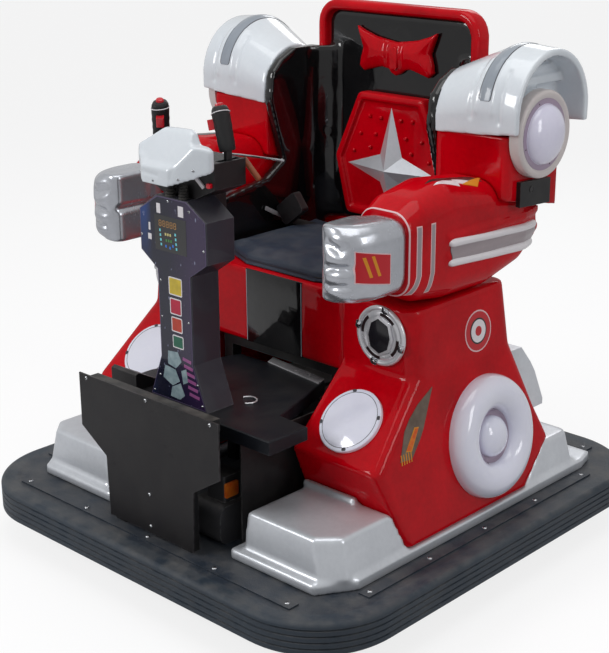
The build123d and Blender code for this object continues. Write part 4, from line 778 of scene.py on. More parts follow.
# %% Arm bands
arms = pairs["arm"]
edge_grey = finish("edge_grey", (62, 60, 66), (84, 82, 88), 0.4, dust=0.1)
stripe_grey = finish("stripe_grey", (164, 152, 156), (140, 130, 136), 0.34, coat=0.3, mottle=0.5, dust=0.12)
stripe_white = finish("stripe_white", (236, 232, 236), (216, 210, 216), 0.22, coat=0.6, dust=0.1)
for side, sign in SIDES:
    host = arms[side]
    peel(f"arm_mouth_line_{side}", host, [((0, -0.1855, 0), Y), ((0, -0.1885, 0), FRONT)], 0.0008, border_pale)
    for i, middle in enumerate((-0.16, -0.116)):
        for layer, half, lift, material in (("border", 0.0078, 0.0006, border_pale),
                ("fill", 0.005, 0.0011, stripe_grey)):
            inset = 0.0028 if layer == "fill" else 0.0
            corners = [(middle - half, 0.764 - inset), (middle + half, 0.764 - inset), (middle + half, 0.65),
                       (middle - half, 0.65)]
            peel(f"arm_band_{i}_{layer}_{side}", host, side_patch(corners, sign, 0.36), lift, material)
            corners = [(middle - half, 0.6502), (middle + half, 0.6502), (middle + half - 0.014, 0.606 + inset),
                       (middle - half - 0.014, 0.606 + inset)]
            peel(f"arm_band_{i}_{layer}_low_{side}", host, side_patch(corners, sign, 0.36), lift, material)
    for layer, grow, lift, material in (("edge", 0.0016, 0.0005, edge_grey), ("fill", 0.0, 0.0009, stripe_grey)):
        corners = [(-0.052 - grow, 0.7), (0.306 + grow, 0.677), (0.306 + grow, 0.637), (-0.052 - grow, 0.664)]
        peel(f"arm_side_band_{layer}_{side}", host, side_patch(corners, sign, 0.3), lift, material)

# %% Arm ridges
reach = [-0.062, -0.06, -0.0565, -0.052, -0.046] + [-0.038 + i * 0.0207 for i in range(17)]
reach += [0.301, 0.306, 0.3095, 0.3115]
swell, taper = [0.0025, 0.0052, 0.0077, 0.0094, 0.0103], [0.0095, 0.0077, 0.0052, 0.0025]
for side, sign in SIDES:
    form = bmesh.new()
    for start_z, end_z in ((0.706, 0.681), (0.66, 0.634)):
        heights = [D + start_z + (end_z - start_z) * (y + 0.058) / 0.374 for y in reach]
        rays = [((sign * 0.7, y, z), (-sign, 0, 0)) for y, z in zip(reach, heights)]
        path = [place - normal * 0.0015 for place, normal in skin_points(arms[side], rays)]
        rod(form, path, swell + [0.0105] * (len(path) - 9) + taper, 14)
    made(f"arm_ridges_{side}", form, stripe_white, sharp=70)
print("arm ridges follow", len(path), "points")

# %% [markdown]
# ## Flash and roundel
# The flash on top of each arm, the spearhead on each leg's outer side and the roundel above it are all generic:
# plain shapes in the car's colours. They are peeled off the shells as the bands were.

# %% Arm flash
ink_black = finish("ink_black", (18, 16, 18), (30, 28, 30), 0.3, coat=0.3, dust=0.12)

flash = [("black", [(0.402, -0.062), (0.388, 0.0), (0.406, 0.094), (0.44, 0.104)], 0.0006, ink_black),
         ("white_front", [(0.424, -0.058), (0.414, -0.014), (0.426, 0.022), (0.446, 0.012)], 0.0009, stripe_white),
         ("white_rear", [(0.432, 0.002), (0.414, 0.02), (0.432, 0.062), (0.448, 0.056)], 0.0009, stripe_white),
         ("amber", [(0.44, 0.02), (0.43, 0.072), (0.416, 0.13), (0.452, 0.07)], 0.0012, amber)]
for side, sign in SIDES:
    for label, corners, lift, material in flash:
        peel(f"arm_flash_{label}_{side}", arms[side], top_patch([(sign * x, y) for x, y in corners], D + 0.7), lift,
             material)

# %% Leg spearhead and roundel
legs = pairs["leg_shell"]
blade_steel = finish("blade_steel", (126, 112, 100), (76, 62, 54), 0.3, metal=0.6, mottle=0.8, mottle_scale=16.0,
    scratch=0.6, dust=0.12)
ember = finish("ember", (214, 74, 30), (236, 150, 40), 0.32, mottle=0.9, mottle_scale=26.0, dust=0.1)
spearhead = [("tip", [(-0.094, 0.37), (-0.153, 0.343), (-0.188, 0.318), (-0.143, 0.285)]),
             ("body", [(-0.188, 0.318), (-0.21, 0.295), (-0.193, 0.23), (-0.16, 0.263), (-0.143, 0.285)]),
             ("tail", [(-0.21, 0.295), (-0.237, 0.231), (-0.199, 0.228), (-0.193, 0.23)])]
disc = [("rim", 0.051, 0.0006, border_pale), ("ring", 0.0475, 0.0009, panel_red), ("band", 0.032, 0.0012, ink_black),
        ("field", 0.028, 0.0015, stripe_white), ("dot", 0.012, 0.0018, panel_red)]
for side, sign in SIDES:
    host = legs[side]
    for label, corners in spearhead:
        peel(f"spearhead_{label}_{side}", host, side_patch(corners, sign, 0.38), 0.0008, blade_steel)
    for layer, grow, lift, material in (("rim", 0.0025, 0.0012, amber), ("fill", 0.0, 0.0016, ember)):
        corners = [(-0.172 - grow, 0.293 + grow), (-0.162 + grow, 0.29 + grow), (-0.196 + grow, 0.247 - grow),
                   (-0.212 - grow, 0.251 - grow)]
        peel(f"spearhead_bar_{layer}_{side}", host, side_patch(corners, sign, 0.38), lift, material)
    for i in range(5):
        low = -0.233 + i * 0.0085
        corners = [(low, 0.246), (low + 0.003, 0.246), (low + 0.003, 0.222), (low, 0.222)]
        peel(f"spearhead_tooth_{i}_{side}", host, side_patch(corners, sign, 0.38), 0.0012, amber)
    for label, radius, lift, material in disc:
        peel(f"roundel_{label}_{side}", host, side_patch([(0.09 + y, 0.457 + z) for y, z in oval(radius, radius, 28)],
            sign, 0.38), lift, material)
print("flashes, spearheads and roundels peeled")

# %% [markdown]
# ## Shoulder pads
# A grey band is let into each white pad, over its crown from front to back, with a round lower end and a thin dark
# edge. A soft groove and a soft ridge run down the pad on each side of it.

# %% Pad bands
pads = pairs["shoulder_pad"]
band_grey = finish("band_grey", (150, 158, 168), (132, 140, 152), 0.3, coat=0.5, mottle=0.5, dust=0.15)


def band_planes(sign, middle, half, low_z, front_y):
    """A strip over the crown: two side planes, a round front end, and a cut behind."""
    planes = [((sign * (middle + half), 0, 0), X), ((sign * (middle - half), 0, 0), (-1, 0, 0))]
    if sign < 0:
        planes = [((point[0], 0, 0), (-normal[0], 0, 0)) for point, normal in planes]
    centre = Vector((sign * middle, front_y, low_z + half))
    for angle in (195, 215, 240, 270, 300, 325, 345):
        normal = Vector((math.cos(math.radians(angle)), 0, math.sin(math.radians(angle))))
        reach = 1.0 if angle == 270 else 1.0 + 0.22 * abs(math.sin(math.radians(2 * angle)))
        planes.append((centre + normal * half * reach, normal))
    return planes


for side, sign in SIDES:
    for x, low, depth in ((0.392, 0.96, 0.0042), (0.408, 0.975, -0.0035), (0.456, 0.975, -0.0035),
            (0.474, 0.955, 0.0042)):
        rays = [((sign * x, -0.5, D + low + i * 0.014), Y) for i in range(9)]
        sculpt(pads[side], [place for place, normal in skin_points(pads[side], rays)], 0.013, depth)
    for layer, half, lift, material in (("edge", 0.0178, 0.0005, edge_grey), ("fill", 0.0158, 0.0009, band_grey)):
        planes = band_planes(sign, 0.432, half, D + 1.0025 - half * 0.12, 0.111)
        front = planes + [((0, 0.232, 0), Y)]
        peel(f"pad_band_{layer}_front_{side}", pads[side], front, lift, material)
        rear = planes[:2] + [((0, 0.2319, 0), FRONT), ((0, 0, D + 1.02), (0, 0, -1)),
            ((0, 0.232, D + 1.05), (0, -0.2, -1))]
        peel(f"pad_band_{layer}_rear_{side}", pads[side], rear, lift, material)
print("pad bands peeled")

# %% [markdown]
# ## Seat
# The backrest's black liner is pressed so deep at its sides that the shell behind it would touch it, so the shell
# steps back there. A gloss black stripe covers the middle of the seat's front between two thin pale lines.

# %% Shell relief and seat stripe
shell = bpy.data.objects["backrest_shell_moulded"]
for v in shell.data.vertices:
    if v.co.y < 0.322 and abs(v.co.x) < 0.25 and v.co.z < D + 1.0:
        v.co.y = 0.322
for side, sign in SIDES:
    cove = face_at((sign * 0.23, 0.302, 0), (0.76, -sign * 0.65, 0), Z)
    build(f"liner_cove_{side}", gloss_black, (plate, [(-0.02, D + 0.66), (0.02, D + 0.66), (0.02, D + 0.9),
        (-0.02, D + 0.9)], cove, -0.003, -0.0004, 0.0008))
tub_front = face_at((0, -0.143, 0), X, Z)
build("seat_stripe", gloss_black, (plate, above_deck(((-0.0965, 0.364), (0.0965, 0.364), (0.0965, 0.555),
    (-0.0965, 0.555))), tub_front, -0.0006, 0.003, 0.0008))
build("seat_pinstripes", band_grey, *[(plate, [(x - 0.0011, D + 0.366), (x + 0.0011, D + 0.366),
    (x + 0.0011, D + 0.553), (x - 0.0011, D + 0.553)], tub_front, 0.0029, 0.0034) for x in (-0.0945, 0.0945)])

# %% [markdown]
# The cushion is foam in stretched vinyl: its top is crowned and its edges are round. Foam that pushes against its
# cover is what Cloth with pressure does, so a slightly smaller copy of the CAD cushion is blown up for twenty
# frames. Its underside is pinned to the tub, and no point may move further than the cap.

# %% Padded cushion
def puffed(piece, pressure, cap, floor_z, last=20):
    start = [v.co.copy() for v in piece.data.vertices]
    held = piece.vertex_groups.new(name="held")
    held.add([i for i, place in enumerate(start) if place.z < floor_z + 0.004], 1.0, "REPLACE")
    filling = piece.modifiers.new("filling", "CLOTH")
    filling.settings.vertex_group_mass = "held"
    filling.settings.use_pressure = True
    filling.settings.uniform_pressure_force = pressure
    filling.settings.effector_weights.gravity = 0.0
    filling.settings.mass = 0.3
    filling.settings.tension_stiffness = filling.settings.compression_stiffness = 12.0
    filling.settings.bending_stiffness = 0.6
    filling.point_cache.frame_start, filling.point_cache.frame_end = 1, last
    for number in range(1, last + 1):
        bpy.context.scene.frame_set(number)
    bake(piece)
    for v, place in zip(piece.data.vertices, start):
        move = v.co - place
        if move.length > cap:
            v.co = place + move * (cap / move.length)
    bpy.context.scene.frame_set(1)


low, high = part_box("seat_cushion")
cushion = relax(link("cushion_padded", copy_of("seat_cushion")), 0.006, 5)
middle_y = (low.y + high.y) / 2
for v in cushion.data.vertices:
    crown = max(0.0, 1 - (v.co.x / high.x) ** 2) * max(0.0, 1 - ((v.co.y - middle_y) / (high.y - middle_y)) ** 2)
    v.co.x *= 0.992
    if v.co.z > low.z + 0.02:
        v.co.z -= 0.004 * (1 - crown)
puffed(cushion, 4.0, 0.006, low.z)
for v in cushion.data.vertices:
    v.co = Vector((max(low.x, min(high.x, v.co.x)), max(low.y, min(high.y, v.co.y)),
                   max(low.z, min(high.z + 0.004, v.co.z))))
finer = cushion.modifiers.new("finer", "SUBSURF")
finer.levels = finer.render_levels = 1
bake(cushion)
dress(cushion, vinyl, replaces=["seat_cushion"])
print("cushion faces:", len(cushion.data.polygons))

# %% Piping and belt hardware
seam = [(-0.236, 0.25), (-0.236, -0.06), (-0.2, -0.088), (-0.118, -0.1235), (0.118, -0.1235), (0.2, -0.088),
        (0.236, -0.06), (0.236, 0.25)]
starts = [(x * 1.6, y * 1.6 - 0.02 * (y < 0), low.z + 0.012) for x, y in seam]
rays = [(start, Vector((-x, -(y - 0.05), 0)).normalized()) for start, (x, y) in zip(starts, seam)]
path = [place for place, normal in skin_points(cushion, rays)]
build("cushion_piping", grip_black, (rod, path, 0.0016, 8), sharp=80)
build("belt_tongue", satin_metal, (plate, oblong(0.034, 0.0055, 0.002, middle=(0.126, 0)),
    face_at((-0.254, 0, D + 0.6855), (0, 0.88, -0.47), (0, 0.47, 0.88)), 0.0, 0.0022, 0.0006))
print("piping points:", len(path))

# %% [markdown]
# ## Column cover and console
# The white cover over the column's head is one moulding with a raised brow. Below it two rubber boots, a white
# strip and a red knob show, and a chrome rod with an orange-brown sleeve runs out behind the right lever.

# %% Cover and console details
cover = bpy.data.objects["column_cover_moulded"]
sculpt(cover, [(-0.105, -0.48, D + 0.905), (-0.03, -0.512, D + 0.898), (0.04, -0.512, D + 0.894)], 0.014, -0.004)
sculpt(cover, [(0.052, -0.512, D + 0.86), (0.06, -0.5, D + 0.93), (0.052, -0.48, D + 0.96)], 0.01, 0.0034)
sculpt(cover, [(-0.07, -0.512, D + 0.87), (0.01, -0.512, D + 0.866)], 0.01, 0.0028)
rows = skin_points(cover, [((x, -0.6, D + z), Y) for x, z in ((-0.004, 0.853), (0.063, 0.862), (0.09, 0.882),
    (-0.066, 0.862))])
screws("cover_screws", rows, 0.0034, 0.0018, seed=3)
boot = [(0, 0.0)]
for i in range(5):
    boot += [(0.0135 - i * 0.0006, 0.001 + i * 0.0068), (0.01 - i * 0.0006, 0.0044 + i * 0.0068)]
boot.append((0, 0.034))
build("column_boots", tyre_black, *[(turned, boot, face_at((x, -0.453, D + 0.806), X, Y), 28)
    for x in (-0.015, 0.03)], sharp=60)
console_front = face_at((0, -0.44, 0), X, Z)
build("console_strip", stripe_white, (plate, above_deck(((0.042, 0.864), (0.08, 0.834), (0.088, 0.84), (0.05, 0.87))),
    console_front, 0.0, 0.0035, 0.0008))
knob_red = finish("knob_red", (206, 14, 34), (170, 8, 24), 0.22, coat=0.6, mottle=0.3, dust=0.08)
build("console_knob", knob_red, (rounded_block, oblong(0.0065, 0.0055, 0.003, middle=(0.1045, D + 0.8455)), 0.0,
    0.008, 0.0025, 4, console_front))
rod_line = [(0.03, -0.352, D + 0.884), (0.042, -0.341, D + 0.894), (0.096, -0.339, D + 0.898),
            (0.231, -0.339, D + 0.904)]
build("console_rod", chrome, (rod, rod_line, 0.0025, 12), sharp=80)
sleeve_brown = finish("sleeve_brown", (156, 84, 52), (112, 56, 36), 0.45, mottle=0.6, scratch=0.2, dust=0.15)
build("console_sleeve", sleeve_brown, (capsule, (0.108, -0.3385, D + 0.889), (0.15, -0.3385, D + 0.853), 0.007),
      sharp=80)
print("cover screws:", len(rows))

# %% [markdown]
# ## Platform and base
# On the platform lie a flat steel bar and a small half ring. The rear panel, which the photo doesn't show, gets
# the plain fixings such a panel has: screws along its edges and two rows of louvres over the batteries.

# %% Platform and rear details
build("platform_bar", satin_metal, (plate, [(-0.06, -0.09), (-0.048, -0.121), (0.155, -0.149), (0.143, -0.116)],
    Matrix.Translation((0, 0, D + 0.31)), 0.0, 0.003, 0.0008))
angles = [math.radians(a) for a in range(-60, 175, 15)]
arc = [(0.106 + 0.022 * math.cos(a), -0.342 + 0.022 * math.sin(a), D + 0.3118) for a in angles]
build("platform_ring", satin_metal, (rod, arc, 0.0022, 10), sharp=80)
build("bay_cover_plate", ember, (rounded_block, oblong(0.02, 0.018, 0.003, middle=(-0.455, D + 0.138)), 0.0, 0.006,
    0.002, 3, face_at((0.16, 0, 0), Y, Z)))
rear_y = 0.334                                   # the rear panel's face
rear_rows = rows_at(rear_y, [(x, z) for x in (-0.196, 0.196) for z in (0.03, 0.2, 0.37, 0.53)]
    + [(0, 0.03), (0, 0.53)], Y)
screws("rear_screws", rear_rows, 0.0052, 0.003, seed=13)
print("platform and rear dressed")

# %% [markdown]
# ## Beads, louvres and lights
# The back panel carries small pressed beads, the rear panel rows of louvres and the display rows of tiny lights.
# A second Geometry Nodes tree sets one small raised mark, round or square, on each of its points.

# %% The mark tree
def mark_tree():
    tree, given, result, aimed = point_tree("raised_marks",
        [("Size", "Vector", (0.01, 0.01, 0.01)), ("Round", "Bool", True)], [("Finish", "Material", None)], "Marks")
    ball = add_node(tree, "GeometryNodeMeshUVSphere", {"Segments": 16, "Rings": 10, "Radius": 0.5}).outputs[0]
    bar = add_node(tree, "GeometryNodeMeshCube", {"Size": (1.0, 1.0, 1.0)}).outputs[0]
    mark = add_node(tree, "GeometryNodeSwitch", {"Switch": given["Round"], "False": bar, "True": ball},
                    input_type="GEOMETRY").outputs[0]
    sized = add_node(tree, "GeometryNodeTransform", {"Geometry": mark, "Scale": given["Size"]}).outputs[0]
    real = on_points(tree, given["Points"], sized, aimed)
    tree.links.new(add_node(tree, "GeometryNodeSetMaterial",
        {"Geometry": real, "Material": given["Finish"]}).outputs[0], result[0])
    return tree


def marks(name, rows, size, material, round_marks=True):
    """rows are (place, facing); size is across, along and out of the face."""
    piece = dress(from_points(name, rows, mark_nodes, {"Size": size, "Round": round_marks, "Finish": material}))
    piece.data.set_sharp_from_angle(angle=math.radians(40))


mark_nodes = mark_tree()
print("tree:", mark_nodes.name, len(mark_nodes.nodes), "nodes")

# %% Panel beads
panel_floor = 0.2925
bead_places = [(0.072, 0.883), (0.034, 0.882), (0.104, 0.834), (0.052, 0.837), (0.128, 0.784), (0.07, 0.8)]
bead_rows = rows_at(panel_floor, [(sign * x, z) for sign in (-1, 1) for x, z in bead_places])
marks("panel_beads", bead_rows, (0.011, 0.011, 0.009), gloss_red)
louvres = rows_at(rear_y, [(x, 0.3 + i * 0.022) for x in (-0.085, 0.085) for i in range(7)], Y)
marks("rear_louvres", louvres, (0.12, 0.007, 0.005), panel_black, round_marks=False)

# %% [markdown]
# ## Hubs
# Under each arm sits a chrome hub like a wheel cap: a polished ring, four slots round a dished plate, painted dark as
# the shade in them, and a tall dark hexagon in a bright frame. It is turned on a lathe, and the slots and hexagon are
# cut plates.

# %% Hubs
# The slot finish is painted shade: dark red-brown where the hub's slots are shaded inside.
slot_dark = finish("slot_dark", (34, 14, 18), (16, 10, 12), 0.35, mottle=0.5, dust=0.1)
glass_dark = finish("glass_dark", (26, 24, 30), (18, 17, 22), 0.22, coat=0.4, dust=0.1)
lug_radius, lug_angles, hub_turn = 0.0665, (62, 152, 242, 332), 14
hexagon = [(-0.004, 0.042), (0.025, 0.029), (0.032, 0.0), (0.024, -0.028), (0.0, -0.042), (-0.026, -0.03),
           (-0.033, -0.002), (-0.025, 0.028)]
for side, sign in SIDES:
    place = face_at((sign * 0.358, -0.15, D + 0.484), X, Z)
    build(f"hub_dish_{side}", satin_metal, (turned, [(0, 0.0002), (0.0715, 0.0002), (0.0728, 0.003), (0.0722, 0.0072),
        (0.069, 0.0096), (0.064, 0.0098), (0.0622, 0.0082), (0.0612, 0.006), (0.0592, 0.006), (0.0578, 0.0078),
        (0.048, 0.0086), (0.045, 0.007), (0, 0.007)], place, 56), sharp=50, slot="chrome",
          replaces=["hubs"] if side == "left" else ())
    build(f"hub_frame_{side}", satin_metal, (plate, [(x * 1.24, y * 1.17) for x, y in hexagon], place, 0.0066, 0.0112,
        0.0022), sharp=30)
    build(f"hub_window_{side}", glass_dark, (plate, hexagon, place, 0.0108, 0.0122, 0.0008))
    build(f"hub_slots_{side}", slot_dark, *[(plate, arc_band(0.0492, 0.0568, start + sign * 4, start + sign * 4 + 48),
        place, 0.007, 0.0092) for start in (38, 128, 218, 308)])
    build(f"hub_lugs_{side}", chrome, *[(plate, oblong(0.0075, 0.01, 0.004),
        round_place(place, lug_radius, angle + hub_turn), 0.0085, 0.0118, 0.0012) for angle in lug_angles])
    rows = [(round_place(place, lug_radius, angle + hub_turn, 0.0117).to_translation(), FRONT)
            for angle in lug_angles]
    screws(f"hub_screws_{side}", rows, 0.0034, 0.0018, seed=9)
print("hubs built")

# %% [markdown]
# ## Lamps
# The shoulder lamps are domes in thick bezels. Each is turned on a lathe in two pieces, so that the lens and the
# bezel can have their own finish. The shin lamps keep their CAD shape and gain four small clips.

# %% Shoulder lamps
bezel_white = finish("bezel_white", (214, 206, 204), (196, 188, 188), 0.3, coat=0.4, mottle=0.5, dust=0.15)
# The lamp recess finish is painted shade: a darker violet-grey in each shoulder lamp's recessed ring and in each ring
# lamp's inner well.
lens_rim = finish("lens_rim", (170, 152, 172), (146, 130, 152), 0.25, coat=0.5, mottle=0.5, dust=0.1)
lens_violet = finish("lens_violet", (238, 236, 254), (212, 208, 238), 0.1, coat=1.0, mottle=0.5, mottle_scale=5.0,
    scratch=0.2, dust=0.05)
for side, sign in SIDES:
    place = face_at((sign * 0.4923, 0.234, D + 0.918), (0, sign, 0), Z)
    build(f"shoulder_bezel_{side}", bezel_white, (turned, [(0, 0), (0.1036, 0), (0.1036, 0.0225), (0.1022, 0.0265),
        (0.0985, 0.0292), (0.0935, 0.0298), (0.088, 0.028), (0.0845, 0.0255), (0, 0.024)], place, 72), sharp=60,
          slot="pad_white", replaces=["shoulder_lamps"] if side == "left" else ())
    arc = [(x, 0.0265 + z) for x, z in oval(0.0708, 0.032, 60)[:15]]
    dome = [(0, 0.0235), (0.0715, 0.0235), (0.0715, 0.0262)] + arc + [(0, 0.0587)]
    build(f"shoulder_lens_{side}", lens_violet, (turned, dome, place, 72), sharp=60, slot="lamp_white")
    # The ring between the bezel and the lens is painted shade in the recess.
    build(f"shoulder_recess_{side}", lens_rim, (turned, [(0.0712, 0.0238), (0.0842, 0.025), (0.0842, 0.0264),
        (0.0712, 0.0262), (0.0712, 0.0238)], place, 72), sharp=80)
    rows = [(round_place(place, 0.0775, angle, 0.0252).to_translation(), (sign, 0, 0))
            for angle in (20, 110, 200, 290)]
    screws(f"shoulder_lamp_screws_{side}", rows, 0.0026, 0.0016, seed=5, metal=recess_dark)

# %% Ring lamps and bracket holes
leg_slope = 68 / 364                             # the leg shell leans in by 68 mm over 364 mm of height
ring_lean = math.atan(leg_slope)
fat_ring = [(0, 0.0003), (0.1525, 0.0003)]
for i in range(1, 21):
    angle = math.pi * i / 21
    fat_ring.append((0.1085 + 0.044 * math.cos(angle), 0.0438 * math.sin(angle) ** 0.9))
fat_ring += [(0.0645, 0.004), (0, 0.004)]
ball = [(0, 0.0036), (0.051, 0.0036)] + [(x, 0.01 + z) for x, z in oval(0.051, 0.03, 56)[:14]] + [(0, 0.04)]
for side, sign in SIDES:
    place = face_at((sign * 0.49605, 0.09, D + 0.198), (0, sign, 0),
                    (-sign * math.sin(ring_lean), 0, math.cos(ring_lean)))
    build(f"ring_lamp_{side}", lamp_white, (turned, fat_ring, place, 96), sharp=70,
          replaces=["ring_lamps"] if side == "left" else ())
    build(f"ring_lamp_dome_{side}", lamp_white, (turned, ball, place, 64), sharp=70)
    # The well round the dome is painted shade at the ring's shaded inner edge.
    build(f"ring_lamp_well_{side}", lens_rim, (turned, [(0.0512, 0.0042), (0.064, 0.0042), (0.065, 0.012),
        (0.064, 0.012), (0.0625, 0.005), (0.0512, 0.005), (0.0512, 0.0042)], place, 72), sharp=80)
    # Each bracket hole is a shallow black cup: painted shade where the hole's inside is dark.
    hole = face_at((sign * 0.504, 0.213, D + 0.789), (0, sign, 0), Z)
    build(f"bracket_socket_{side}", ink_black, (turned, [(0, 0.0), (0.0085, 0.0), (0.0082, 0.0012), (0.0064, 0.0012),
        (0.006, 0.0004), (0, 0.0004)], hole, 32))

# %% Shin lamp clips
# Two points of the shin's slope, how far forward and how high above the deck, and how far forward the lamp stands.
shin_top, shin_foot, lamp_y = (0.15, 0.394), (0.323, 0.222), 0.248
shin_tilt = math.atan2(shin_top[1] - shin_foot[1], shin_foot[0] - shin_top[0])
clip_radius = 0.0765
shin_out = Vector((0, -math.sin(shin_tilt), math.cos(shin_tilt)))
for side, sign in SIDES:
    lamp_z = D + shin_foot[1] + (shin_foot[0] - lamp_y) * math.tan(shin_tilt)
    place = face_at((sign * 0.352, -lamp_y, lamp_z), X, shin_out.cross(Vector(X)))
    build(f"shin_lamp_clips_{side}", edge_grey, *[(plate, oblong(0.003, 0.0048, 0.0015),
        round_place(place, clip_radius, angle), 0.0095, 0.0118, 0.0006) for angle in (20, 112, 200, 291)])
    build(f"shin_lamp_seam_{side}", edge_grey, (turned, [(0.0712, 0.0098), (0.0716, 0.0106), (0.0724, 0.0106),
        (0.0728, 0.0098)], place, 64), sharp=80)
print("lamps finished")

# %% [markdown]
# ## Headrest bow
# The emblem on the headrest is a plump red bow: two lobes that swell towards their middles, and a knot. The flat
# outline is filled, skinned, relaxed, and then blown up: each point moves out by an amount that grows with its
# distance from the outline.

# %% Headrest bow
bow_half = [(0, 0.03), (0.03, 0.034), (0.07, 0.04), (0.108, 0.052), (0.133, 0.063), (0.124, 0.038), (0.112, 0.008),
            (0.12, -0.018), (0.124, -0.04), (0.108, -0.052), (0.08, -0.044), (0.048, -0.036), (0.028, -0.04),
            (0.014, -0.05), (0, -0.056)]
bow_outline = bow_half + [(-x, z) for x, z in bow_half[-2:0:-1]]
bow_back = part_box("headrest_emblem")[1].y
form = bmesh.new()
bow_place = face_at((0, bow_back, D + 1.048), X, Z)
plate(form, bow_outline, bow_place, 0.0002, 0.011)
bow = relax(link("headrest_bow", mesh_of(form, "bow_form")), 0.003, 8)
bow_rim = [Vector((x, z)) for x, z in bow_outline]
bow_inverse = bow_place.inverted()
for v in bow.data.vertices:
    local = bow_inverse @ v.co
    flat = Vector((local.x, local.y))
    gap = 1.0
    for a, b in zip(bow_rim, bow_rim[1:] + bow_rim[:1]):
        near, share = geometry.intersect_point_line(flat, a, b)
        near = (a, b)[share > 0.5] if not 0 <= share <= 1 else near.to_2d()
        gap = min(gap, (flat - near).length)
    if local.z > 0.004:
        swell = 0.013 * math.sqrt(min(gap, 0.03) / 0.03) - 0.004 * math.exp(-(((abs(local.x) - 0.024) / 0.007) ** 2))
        v.co += bow_place.to_3x3() @ Vector((0, 0, swell))
dress(bow, gloss_red, replaces=["headrest_emblem"])
build("headrest_knot", gloss_red, (rounded_block, oblong(0.0135, 0.03, 0.011, middle=(0, -0.01)), 0.004, 0.0255,
    0.009, 5, bow_place), sharp=70)
print("bow reaches out", round(bow_back - min(v.co.y for v in bow.data.vertices), 4))

# %% [markdown]
# ## Control column
# The column's front is a printed sheet behind clear plastic: navy that fades to violet, with small pale flecks, a
# strip of coloured tiles and a pale design at the foot, all of plain shapes. The sheet is a thin plate with a
# lighter rim, screwed on at its edges.

# %% Column print
def night_print(tree, ground):
    """Navy that turns violet to the right and blue to the left, with pale flecks."""
    axes = add_node(tree, "ShaderNodeSeparateXYZ",
                    {0: add_node(tree, "ShaderNodeTexCoord").outputs["Object"]}).outputs
    to_violet = spread(tree, axes[0], -0.02, 0.07, 0.0, 0.75)
    colour = blended(tree, to_violet, ground, srgb(58, 40, 78))
    streak = maths(tree, "MULTIPLY", spread(tree, axes[0], -0.07, -0.092),
                   spread(tree, axes[2], D + 0.66, D + 0.78, 0.2, 1.0))
    colour = blended(tree, streak, colour, srgb(24, 62, 128))
    cells = add_node(tree, "ShaderNodeTexVoronoi", {"Vector": object_point(tree, (1, 0, 0.45)), "Scale": 120.0})
    flecks = maths(tree, "MULTIPLY", spread(tree, cells.outputs["Distance"], 0.26, 0.16),
                   spread(tree, add_node(tree, "ShaderNodeTexNoise",
                   {"Vector": object_point(tree), "Scale": 34.0}).outputs[0], 0.55, 0.62))
    return blended(tree, maths(tree, "MULTIPLY", flecks, 0.75), colour, srgb(150, 156, 186))


print_navy = finish("print_navy", (26, 28, 50), (16, 17, 34), 0.24, coat=0.5, mottle=0.6, mottle_scale=30.0, dust=0.1,
    pattern=night_print)
print_rim = finish("print_rim", (92, 80, 112), (66, 60, 88), 0.3, coat=0.3, dust=0.1)
column_y, sheet_y, display_y = -0.465, -0.4656, -0.4661   # the faces of the column, the printed sheet and the display
column_place = face_at((0, column_y, 0), X, Z)
column_half = [(0.098, 0.312), (0.057, 0.418), (0.057, 0.63), (0.113, 0.668), (0.113, 0.765), (0.052, 0.806)]


def column_sheet(inset):
    right = [(x - inset, z) for x, z in column_half]
    right[0], right[-1] = (right[0][0] - inset * 0.2, 0.312 + inset), (right[-1][0], 0.806 - inset)
    return above_deck(right + [(-x, z) for x, z in right[::-1]])


for label, inset, low, high, material in (("rim", 0.0022, 0.0001, 0.0004, print_rim),
        ("sheet", 0.0046, 0.0003, 0.0007, print_navy)):
    build(f"column_print_{label}", material, (plate, column_sheet(inset), column_place, low, high))
column_screws = [(-0.011, 0.796), (0.06, 0.783), (-0.106, 0.704), (0.104, 0.7), (-0.046, 0.605), (-0.046, 0.517),
    (0.046, 0.52), (-0.061, 0.369), (0.069, 0.373), (-0.083, 0.325), (0.084, 0.325)]
screws("column_screws", rows_at(sheet_y, column_screws), 0.0034, 0.0022, seed=11)

# %% Coloured tiles
tile_colours = {"yellow": (224, 196, 60), "red": (190, 20, 60), "orange": (200, 62, 34), "green": (20, 104, 78)}
tiles = [("yellow", 0.004, 0.5985, 0.02, 0.019), ("red", 0.003, 0.55, 0.017, 0.017),
         ("orange", 0.005, 0.5065, 0.016, 0.0155), ("green", 0.007, 0.465, 0.016, 0.013)]
build("tile_frames", stripe_white, *[(plate, oblong(half_x + 0.0028, half_z + 0.0028, 0.004, middle=(x, D + z)),
    column_place, 0.0006, 0.0009) for label, x, z, half_x, half_z in tiles])
for label, x, z, half_x, half_z in tiles:
    rgb = tile_colours[label]
    ink = finish("tile_" + label, rgb, tuple(int(c * 0.75) for c in rgb), 0.28, coat=0.4, mottle=0.6,
                 mottle_scale=40.0, dust=0.08)
    build("tile_" + label + "_face", ink, (plate, oblong(half_x, half_z, 0.0025, middle=(x, D + z)), column_place,
        0.0008, 0.0011))

